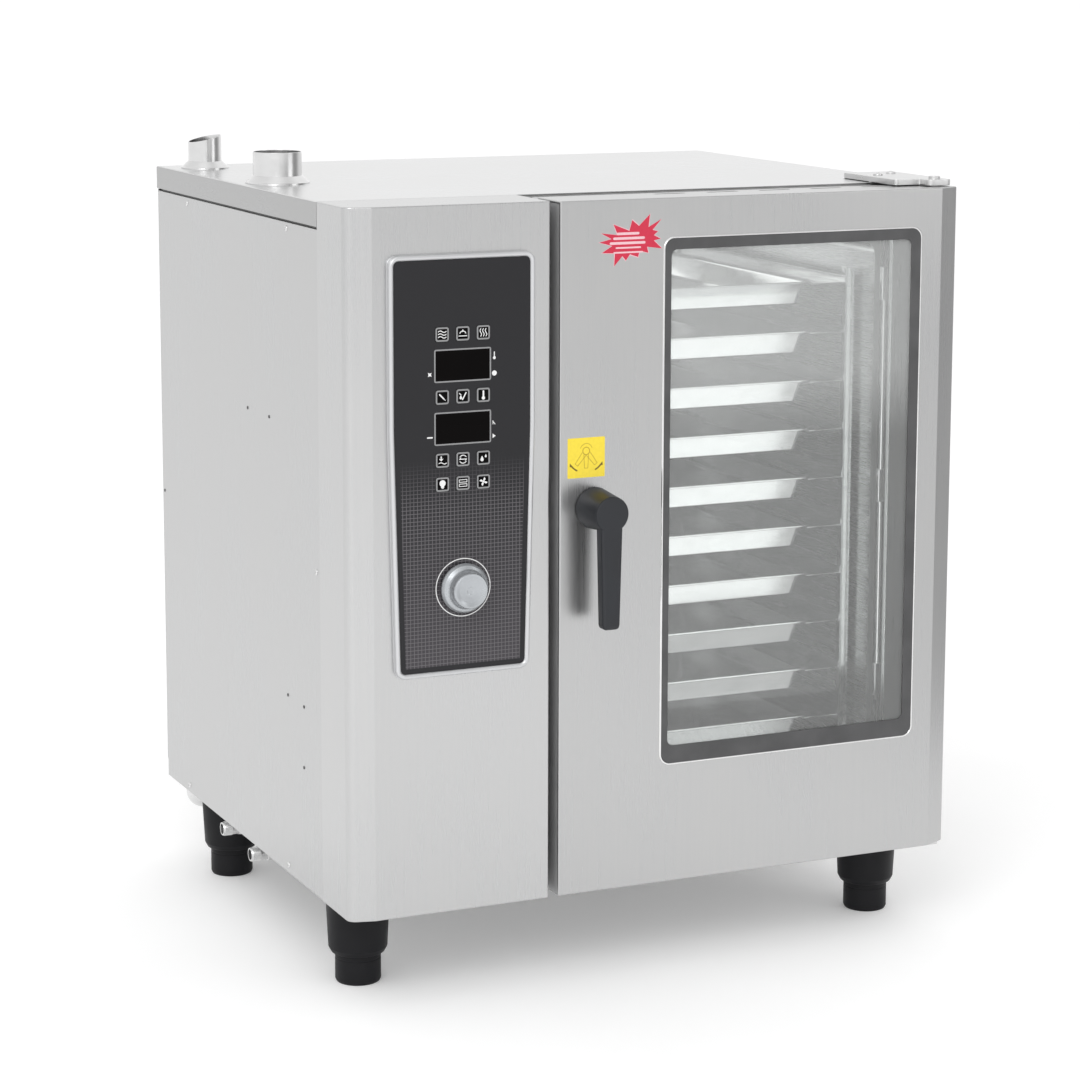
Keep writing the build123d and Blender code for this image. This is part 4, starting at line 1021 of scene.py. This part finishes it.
def make_window_surround():
    """The dark band that the outer pane sits in, and the bright rolled edge of the steel around it."""
    outer = window_outline(0.4)
    inner = rectangle(
        (WINDOW_X[0] + BAND["left"], WINDOW_X[1] - BAND["right"]),
        (WINDOW_Z[0] + BAND["bottom"], WINDOW_Z[1] - BAND["top"]), 9, 8,
    )
    section = (
        (outer, 0, 6.5), (outer, 0, -0.4), (outer, 0.6, -1.0), (inner, -0.8, -1.0), (inner, 0, -0.5),
        (inner, 0, 0.6), (outer, 2.6, 0.6), (outer, 2.6, 6.5),
    )
    place = PLACES["y"]
    rings = [[place(u, v, y) for u, v in inset(outline, by)] for outline, by, y in section]
    piece("window_band", loft(rings, closed=True), BAND_RUBBER, DOOR, "window_trim")
    roll = [(0.3, 1.2), (0.3, -0.6), (-0.3, -1.1), (-1.5, -1.1), (-2.3, -0.5), (-2.6, 0.2), (-1.2, 1.2)]
    piece("window_rolled_edge", rim(roll, window_outline()), RACK_STEEL, DOOR)


PANE_CLIPS_Z = (230.0, 512.0, 800.0)


def make_inner_pane_fittings():
    """What holds the inner pane: a slim sealing line round it and the clips along its right edge."""
    x, (face, _), z = span("inner_glass")
    outline = rectangle(shrunk(x, 6), shrunk(z, 6), 10, 8)
    low, high = face - 0.8, face - 0.05
    line = rim([(0, low), (4, low), (4, high), (0, high)], outline)
    piece("inner_pane_seal", line, SEAL_RUBBER, DOOR)
    clips = [block((832, 842), (face - 9, low), (z - 24, z + 24), 2.0) for z in PANE_CLIPS_Z]
    rod = turned([(0, 0), (3, 0), (3, 620), (0, 620)], (0, 1, 1, 0), (837, face - 6, 200), UP, 20)
    piece("inner_pane_hinge", joined(*clips, rod), RACK_STEEL, DOOR)


BOSS_R = 28.0
LEVER_HALF_TOP, LEVER_HALF_END, LEVER_DEPTH = 16.0, 12.3, 20.0
# Down the lever: share of its length, then how far its sides and its front and back draw in.
LEVER_STATIONS = (
    (0, 0, 0), (0.3, 0, 0), (0.7, 0, 0), (0.955, 0, 0), (0.975, 0.5, 0.3), (0.99, 1.8, 1.2), (1.0, 4.2, 3.4),
)


def make_handle():
    """The lever handle: a tapered round boss with a turned face, and a lever with eased edges."""
    x, z = HANDLE_AXIS_X, HANDLE_AXIS_Z
    front = HANDLE_Y[0]
    boss = [
        (0, 0.6), (BOSS_R - 1, 0.6), (BOSS_R, 2.0), (BOSS_R - 4, -front - 2.4), (BOSS_R - 5.4, -front),
        (0, -front),
    ]
    boss = turned(boss, (0, 0.8, 1.0, 1.6, 1.2, 0), (x, 0, z), FORWARD, 72)
    top, end = z - 6, HANDLE_Z[0]
    rings = []
    for share, aside, inward in LEVER_STATIONS:
        half = LEVER_HALF_TOP + (LEVER_HALF_END - LEVER_HALF_TOP) * share - aside
        height = top + (end - top) * share
        depth = (front + 0.15 + inward, front + LEVER_DEPTH - inward)
        section = rectangle((x - half, x + half), depth, 4.6 - min(3.0, aside), 6)
        rings.append([(u, v, height) for u, v in section])
    lever = loft(rings)
    piece("handle_moulding", joined(boss, lever), HANDLE_PLASTIC, HANDLE, "handle_lever")
    # Painted shadow: a thin disc of the dark shadow steel fills the gap between the boss and the door.
    gap_shadow_disc = turned([(0, 0), (25, 0), (25, 0.6), (0, 0.6)], (0, 0, 0.2, 0), (x, -0.02, z), FORWARD, 48)
    piece("handle_gap_painted_shadow", gap_shadow_disc, SHADOW_STEEL, HANDLE)


# ---- control fascia ----
FILM_FRONT = span("control_overlay")[1][0]
FASCIA_MIDDLE = middle(BEZEL_X)
DISPLAY_Z = (733.0, 651.0)
DISPLAY_HALF = (39.9, 21.65)


def fascia_outline():
    """The surround's outline: straight down to the bend, then drawn in to the bottom."""
    bottom, top = BEZEL_Z
    right = [(FASCIA_HALF_BOTTOM, bottom), (FASCIA_HALF_TOP, FASCIA_TAPER_Z), (FASCIA_HALF_TOP, top)]
    points = [(FASCIA_MIDDLE + u, v) for u, v in right] + [(FASCIA_MIDDLE - u, v) for u, v in right[::-1]]
    return rounded(points, (14, 600, 14, 14, 600, 14), 8)


def make_bezel():
    """The silver surround: a rounded moulding with a thin groove where it meets the column."""
    front = BEZEL_Y[0]
    profile = [
        (0.0, 0.0), (0.0, -0.6), (0.4, -0.9), (0.4, -1.5), (0.1, -1.9), (0.1, front + 4.0),
        (0.4, front + 2.2), (1.2, front + 0.9), (2.5, front + 0.1), (3.6, front), (4.8, front + 0.3),
        (6.0, front + 1.2), (6.8, front + 2.3), (BEZEL_WIDTH, front + 3.0), (BEZEL_WIDTH, FILM_FRONT + 2),
        (BEZEL_WIDTH, 0.0),
    ]
    piece(
        "fascia_surround", rim(profile, fascia_outline()), BEZEL_SILVER,
        replaces="fascia_bezel", smooth=50,
    )


INK = 0.12  # how thick a printed line is


def frame_line(x, z, width, corner, y):
    """A thin printed rounded frame, just proud of what it is on."""
    outer = rectangle(x, z, corner, 5)
    return ring_prism(outer, inset(outer, width), (y - INK, y))


def make_displays():
    """The printed frame round each display."""
    half_x, half_z = DISPLAY_HALF
    x = (FASCIA_MIDDLE - half_x, FASCIA_MIDDLE + half_x)
    for index, z in enumerate(DISPLAY_Z):
        line = frame_line(x, (z - half_z, z + half_z), 1.9, 2.6, FILM_FRONT - 0.1)
        piece(f"display_frame_{index + 1}", line, INK_GREY)


def bar(start, end, width):
    """A straight stroke with round ends, as an outline."""
    start, end = Vector(start), Vector(end)
    along = (end - start).normalized()
    across = Vector((-along.y, along.x))
    outline = []
    for centre, sign in ((end, 1), (start, -1)):
        for step in range(7):
            turn = pi * step / 6
            outline.append(centre + (across * -cos(turn) + along * sin(turn)) * sign * width / 2)
    return outline


def curve(points, width):
    """A stroke along points as a list of outlines."""
    return [bar(a, b, width) for a, b in zip(points, points[1:])]


def arc(centre, radius, start, end, steps=10):
    turns = [radians(start + (end - start) * i / steps) for i in range(steps + 1)]
    return [Vector(centre) + radius * Vector((cos(t), sin(t))) for t in turns]


def ink(outlines, y, height):
    """Flat printed strokes; each stands a hair further out, so that no two fronts lie in one plane."""
    return joined(*[prism(outline, (y - height - 0.002 * i, y), "y") for i, outline in enumerate(outlines)])


def wave(x, z, length, rise, turned_up=False):
    """A wavy line centred on a point; upright where turned_up."""
    points = [(length * (i / 10 - 0.5), rise * sin(2 * pi * i / 10)) for i in range(11)]
    return [Vector((x + v, z + u)) if turned_up else Vector((x + u, z + v)) for u, v in points]


def drop(x, z, size):
    """A water drop, point up."""
    return [Vector((x, z + size)), *arc((x, z - size * 0.25), size * 0.55, 30, -210, 12)]


def icon(name):
    """The generic symbol of a key, as outlines round its centre, in millimetres."""
    line = 0.9
    if name == "key_hot_air":
        return [s for z in (-3, 0, 3) for s in curve(wave(0, z, 9, 0.9), line)]
    if name == "key_combi":
        tray = bar((-4.6, -2.6), (4.6, -2.6), line)
        return curve(arc((0, -1), 3.6, 20, 160), line) + [tray, drop(0, 3.0, 1.6)]
    if name == "key_steam":
        return [s for x in (-3, 0, 3) for s in curve(wave(x, 0, 8, 0.9, True), line)]
    if name == "key_core_probe":
        return [bar((-3, 3), (1.6, -1.6), 1.5), bar((1.6, -1.6), (3.4, -3.4), 0.7)]
    if name == "key_clean":
        return [drop(-2.4, -1.2, 2.6), bar((-0.5, -3.6), (3.6, 3.8), 1.3), bar((-4.2, 3.2), (-2.2, 1.6), 0.9)]
    if name == "key_temperature":
        return [bar((0, 4), (0, -2), 1.9), circle((0, -3.2), 1.9, 16)]
    if name == "key_cool_down":
        arrow = [bar((-1.5, 4), (-1.5, 0.2), 1.4)]
        arrow += [bar((u, 1.6), (-1.5, 0), 1.0) for u in (-3.2, 0.2)]
        return arrow + curve(wave(0.2, -3.0, 8.5, 0.8), line)
    if name == "key_half_step":
        arrows = [bar((-4, 0), (4, 0), line), bar((-4, 0), (-2.6, 1.3), line), bar((4, 0), (2.6, -1.3), line)]
        return arrows + curve(arc((0, 0), 4.3, 35, 145), line) + curve(arc((0, 0), 4.3, 215, 325), line)
    if name == "key_humidity":
        return [drop(-1.6, -1.0, 3.4), drop(2.7, 1.9, 2.0)]
    if name == "key_light":
        cap = [bar((-1.1, -2.7), (1.1, -2.7), 1.7), bar((-0.7, -4.1), (0.7, -4.1), 0.9)]
        return [circle((0, 1.2), 3.5, 24), *cap]
    if name == "key_start_stop":
        rows = []
        for z in (2.2, -2.4):
            low, high = z - 1.2, z + 1.4
            rows += curve([(-4.4, high), (4.4, high), (4.4, low), (-4.4, low), (-4.4, high)], 0.7)
        return rows
    blades = []
    for quarter in range(4):
        turn = Matrix.Rotation(pi / 2 * quarter + 0.3, 2)
        blades.append([turn @ Vector(p) for p in ((0, 0), (0.6, 2.4), (2.4, 4.4), (3.2, 2.0), (1.4, 0.4))])
    return blades + [circle((0, 0), 0.9, 12)]


KEY_NAMES = sorted(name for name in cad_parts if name.startswith("key_"))
ICON_SCALE = 1.22


def make_keys():
    """Each key: an eased cap, a grey frame, a black field and a white symbol, all on the key's body."""
    for name in KEY_NAMES:
        x, y, z = span(name)
        cx, cz = middle(x), middle(z)
        front = y[0]
        cap = prism(rectangle(x, z, 3.5, 5), (front, front + 6), "y")
        cap = bevelled(cap, 0.35, 2, lambda at, along: at.y < front + 0.1)
        stem = drill((cx, front + 6, cz), BACK, 3, (0, 4.0), 20)
        piece(f"{name}_cap", joined(cap, stem), KEY_FILM, name, name)
        line = frame_line(shrunk(x, 0.6), shrunk(z, 0.6), 2.1, 3.2, front)
        piece(f"{name}_frame", line, INK_GREY, name)
        field = prism(rectangle(shrunk(x, 2.8), shrunk(z, 2.8), 1.3, 3), (front - 0.06, front), "y")
        piece(f"{name}_field", field, KEY_BLACK, name)
        centre = Vector((cx, cz))
        outlines = [[centre + Vector(p) * ICON_SCALE for p in outline] for outline in icon(name)]
        piece(f"{name}_symbol", ink(outlines, front - 0.04, 0.1), INK_WHITE, name)


def make_status_marks():
    """Small white marks beside the displays: thermometer, clock, sun and three others."""
    right, left = FASCIA_MIDDLE + 44.5, FASCIA_MIDDLE - 46.0
    upper, lower = DISPLAY_Z
    sun = [(3.6 if i % 2 else 1.7, radians(45 * i)) for i in range(8)]
    flag = ((right - 2.5, lower - 10.5), (right - 2.5, lower - 16.5), (right + 1.9, lower - 13.5))
    outlines = [
        bar((right, upper + 14.5), (right, upper + 8.5), 1.4), circle((right, upper + 7), 2.0, 14),
        circle((right, upper - 13), 3.4, 20),
        [Vector((left + r * cos(t), upper - 10.5 + r * sin(t))) for r, t in sun],
        bar((right - 2, lower + 5.5), (right + 1, lower + 2), 1.0),
        bar((right - 2, lower + 2), (right - 2, lower + 6.5), 0.8),
        [Vector(point) for point in flag],
        bar((left - 3, lower - 10.5), (left + 3, lower - 10.5), 2.0),
    ]
    piece("status_marks", ink(outlines, FILM_FRONT + 0.05, 0.15), INK_WHITE)


RING_R, RING_WIDTH = 38.9, 1.3


def make_knob():
    """The dial: a wide skirt, a step, and a dished face with a finger dimple; a thin ring round it."""
    x, z = middle(KNOB_X), middle(KNOB_Z)
    front = -KNOB_Y[0]
    back = front - 25
    profile = [
        (0, back), (32.2, back), (33, back + 1), (33, back + 3.5), (30.6, back + 7.5), (26.6, back + 9.8),
        (25.2, back + 12), (23.8, front - 2.0), (22.6, front), (20.5, front - 0.15), (16, front - 1.4),
        (8, front - 2.2), (5.2, front - 2.3), (4.2, front - 2.8), (0, front - 3.0),
    ]
    radii = (0, 0.3, 0.8, 2.5, 2.0, 2.0, 3.0, 1.0, 0.9, 0.8, 6, 4, 0.5, 0.5, 0)
    shape = turned(profile, radii, (x, 0, z), FORWARD, 96)
    shaft = drill((x, -back, z), BACK, 3, (0, 20), 16)
    piece("dial_moulding", joined(shape, shaft), KNOB_SILVER, "dial", "knob", smooth=40)
    outer, inner = [circle((x, z), r, 96) for r in (RING_R, RING_R - RING_WIDTH)]
    ring = bevelled(ring_prism(outer, inner, (FILM_FRONT - 0.5, FILM_FRONT)), 0.2, 2)
    piece("dial_ring", ring, INK_WHITE)


# ---- labels ----
STARBURST_CENTRE = Vector((400, 884))
STARBURST = (
    (-46, -1), (-27, -6), (-42, -15), (-23, -16), (-24, -33), (-12, -20), (-7, -26), (-1, -18),
    (11, -22), (13, -14), (26, -17), (24, -9), (46, -12), (34, -1), (44, 1), (34, 6), (40, 11),
    (32, 13), (45, 27), (26, 17), (28, 34), (12, 19), (2, 27), (-2, 13), (-25, 22), (-19, 8),
    (-43, 11), (-28, 3),
)
STARBURST_LINES = ((-19, 11), (-24, 19), (-29, 20), (-21, 14), (-24, 17))


def make_starburst():
    """A plain red starburst sticker with a pale edge and pale blank lines."""
    centre, edge, film, print_by = STARBURST_CENTRE, 1.3, 0.18, 0.12
    star = [centre + Vector(point) for point in STARBURST]
    halo = [point + (point - centre).normalized() * edge for point in star]
    piece("starburst_edge", prism(halo, (-film, 0.0), "y"), LABEL_PINK, DOOR)
    piece("starburst", prism(star, (-film - print_by, -film), "y"), LABEL_RED, DOOR)
    lines = []
    for row, (left, right) in enumerate(STARBURST_LINES):
        height = 9.5 - row * 6.2
        thick = 3.4 if row < 3 else 2.2
        line = bar(centre + Vector((left, height)), centre + Vector((right, height)), thick)
        lines.append(prism(line, (-film - 0.2, -film - print_by), "y"))
    piece("starburst_lines", joined(*lines), LABEL_PINK, DOOR)


LABEL_X, LABEL_Z = (309.5, 364.0), (571.6, 625.3)


def make_handle_label():
    """A yellow square sticker: a lever at rest and swung both ways, with two arrows."""
    label = prism(rectangle(LABEL_X, LABEL_Z, 1.2, 3), (-0.15, 0), "y")
    piece("handle_label", label, LABEL_YELLOW, DOOR)
    pivot = Vector((middle(LABEL_X), LABEL_Z[1] - 18))
    swing, near, far, near_half, far_half = 38, 5, 23, 3.4, 2.4
    drawn, arrows = [], []
    for angle in (-swing, 0, swing):
        along = Vector((sin(radians(angle)), -cos(radians(angle))))
        across = Vector((-along.y, along.x))
        start, end = pivot + along * near, pivot + along * far
        for side in (-1, 1):
            drawn.append(bar(start + across * near_half * side, end + across * far_half * side, 0.7))
        drawn.append(bar(end - across * far_half, end + across * far_half, 0.7))
    drawn += curve(arc(pivot, near, 0, 360, 20), 1.0)
    drawn += curve(arc(pivot + Vector((0, 1)), 9, 20, 160, 10), 0.6)
    for side in (-1, 1):
        sweep = arc(pivot, 29, 270 + side * 28, 270 + side * 48, 6)
        head = [sweep[-1] + Vector(p) for p in ((-2.6, -1.0), (2.6, -1.0), (side * 2.2, 4.0))]
        arrows += [*curve(sweep, 2.0), head]
    piece("handle_label_drawing", ink(drawn, -0.14, 0.06), LABEL_OCHRE, DOOR)
    piece("handle_label_arrows", ink(arrows, -0.14, 0.06), INK_DARK, DOOR)


# ---- cavity ----
OPENING_X, OPENING_Z = (375.0, 833.0), (130.0, 860.0)
OPENING_CORNER = 22.0
# The trays: the middle of the stack, half a tray's rim in x and y, its front edge, and the rims' heights.
TRAY_X = 604.0
TRAY_HALF = Vector((162.5, 265.0))
TRAY_Y = 148.0
TRAY_DEPTH, TRAY_FLANGE, TRAY_SHEET = 33.0, 12.5, 1.0
TRAY_TAPER = tan(radians(12))
TRAY_CORNER = 24.5
RIM_HEIGHTS = [798.0 - 70 * i for i in range(10)]


def make_cavity():
    """The cooking cavity with rounded corners, and the front sheet around its opening."""
    _, (front, start), _ = span("front_frame")
    (left, _), (_, rear), _ = span("cavity_liner")
    outer = rectangle((COLUMN_X[1] + 1, WIDTH - SHEET), (0.5, HEIGHT - 2), 3, 8)
    hole = rectangle(OPENING_X, OPENING_Z, OPENING_CORNER, 8)
    sheet = bevelled(ring_prism(outer, hole, (front, start)), 0.4, 2)
    piece("front_sheet", sheet, FRAME_STEEL, replaces="front_frame")
    wide = rectangle((left, OPENING_X[1] + SHEET), shrunk(OPENING_Z, -SHEET), OPENING_CORNER + SHEET, 8)
    inner = inset(wide, SHEET)
    place = PLACES["y"]
    section = ((inner, rear - SHEET), (inner, start), (wide, start), (wide, rear))
    bm = loft([[place(u, v, w) for u, v in outline] for outline, w in section])
    bm = bevelled(bm, 8, 4, lambda at, along: rear - SHEET - 0.5 < at.y < rear - 0.5)
    piece("cavity_shell", bm, CAVITY_STEEL, replaces="cavity_liner")


def tray_mesh(rim_z):
    """A pressed tray: flat flange with a rolled edge, tapered walls, rounded corners."""
    centre = Vector((TRAY_X, TRAY_Y + TRAY_HALF.y))
    rings = []

    def ring(by, corner, z):
        low, high = centre - TRAY_HALF + Vector((by, by)), centre + TRAY_HALF - Vector((by, by))
        outline = rectangle((low.x, high.x), (low.y, high.y), corner, 6)
        rings.append([(u, v, rim_z + z) for u, v in outline])

    def bend(by, corner, z, radius, start, end, steps=4):
        for step in range(steps + 1):
            turn = radians(start + (end - start) * step / steps)
            out = radius * cos(turn)
            ring(by + out, max(1.0, corner - out), z + radius * sin(turn))

    wall, floor_r, edge_r, roll_r = TRAY_FLANGE + TRAY_TAPER * TRAY_DEPTH, 5.0, 1.6, 1.6
    ring(wall + 40, 2, -TRAY_DEPTH)
    bend(wall + floor_r, 5, -TRAY_DEPTH + floor_r, floor_r, 270, 192)
    bend(TRAY_FLANGE - 1.2, 12.2, -edge_r - TRAY_SHEET, edge_r, 12, 90, 3)
    ring(3.0, TRAY_CORNER - 3.0, -TRAY_SHEET)
    bend(roll_r, TRAY_CORNER - roll_r, 0.5, roll_r, 270, 90, 6)
    ring(3.6, TRAY_CORNER - 3.6, 0.3)
    ring(4.6, TRAY_CORNER - 4.6, 0.0)
    bend(TRAY_FLANGE - 1.2, 12.2, -edge_r - TRAY_SHEET, edge_r + TRAY_SHEET, 90, 12)
    bend(wall + floor_r + TRAY_SHEET, 4, -TRAY_DEPTH + floor_r, floor_r - TRAY_SHEET, 192, 270)
    ring(wall + 41, 2, -TRAY_DEPTH + TRAY_SHEET)
    return loft(rings)


def make_trays():
    for index, rim_z in enumerate(RIM_HEIGHTS):
        piece(
            f"tray_{index + 1}", tray_mesh(rim_z), TRAY_STEEL,
            replaces="gn_trays" if index == 0 else (), smooth=40,
        )


POST_X, POST_WIDTH, POST_DEPTH = 208.0, 14.0, 12.0


def make_racks():
    """Channel posts with a folded rail at each level, and round feet under the posts."""
    foot = [(0, 0), (3.4, 0), (4.6, 3), (4.6, 7), (3.4, 10), (0, 10)]
    for name, side in (("rack_left", -1), ("rack_right", 1)):
        _, y, z = span(name)
        parts = []
        inner = TRAY_X + side * POST_X
        outer = inner + side * POST_WIDTH
        slot_x = sorted((inner + side * 3, outer - side * 3))
        for post_y in (y[0], y[1] - POST_DEPTH):
            channel = block(sorted((inner, outer)), (post_y, post_y + POST_DEPTH), z, 1.0, 2)
            groove = block(slot_x, (post_y - SPILL, post_y + POST_DEPTH - 2.5), shrunk(z, 2))
            parts.append(carved(channel, groove))
            for foot_x in (inner, outer):
                place = (foot_x, post_y + POST_DEPTH / 2, z[0] - 9)
                parts.append(turned(foot, (0, 1, 1, 1, 1, 0), place, UP, 20))
        near = TRAY_X + side * (TRAY_HALF.x - 10.5)
        for rim_z in RIM_HEIGHTS:
            under, top = rim_z - 3.2, rim_z - 1.1
            parts.append(block(sorted((near, inner)), y, (under, top), 0.8, 2))
            parts.append(block(sorted((inner - side * 2.0, inner)), y, (under, rim_z + 7), 0.7, 2))
        piece(f"{name}_channels", joined(*parts), RACK_STEEL, replaces=name)


def finish_kept_nodes():
    """Materials for the nodes that keep their CAD mesh; the panes let light through to the cavity."""
    for name, material in KEPT_NODES.items():
        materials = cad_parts[name].data.materials
        materials.clear()
        materials.append(material)
    for name in ("outer_glass", "inner_glass"):
        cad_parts[name].visible_shadow = False


bpy.context.scene.view_settings.view_transform = "Standard"
make_camera()
make_world()
make_floor()
make_lights()
make_column()
make_lid()
make_side_panels()
make_rear_panel()
make_screws()
make_vents()
make_drain()
make_inlets()
make_gland()
make_feet()
make_upper_hinge()
make_door_shell()
make_door_back()
make_window_surround()
make_inner_pane_fittings()
make_handle()
make_bezel()
make_displays()
make_keys()
make_status_marks()
make_knob()
make_starburst()
make_handle_label()
make_cavity()
make_trays()
make_racks()
finish_kept_nodes()

bpy.context.view_layer.update()
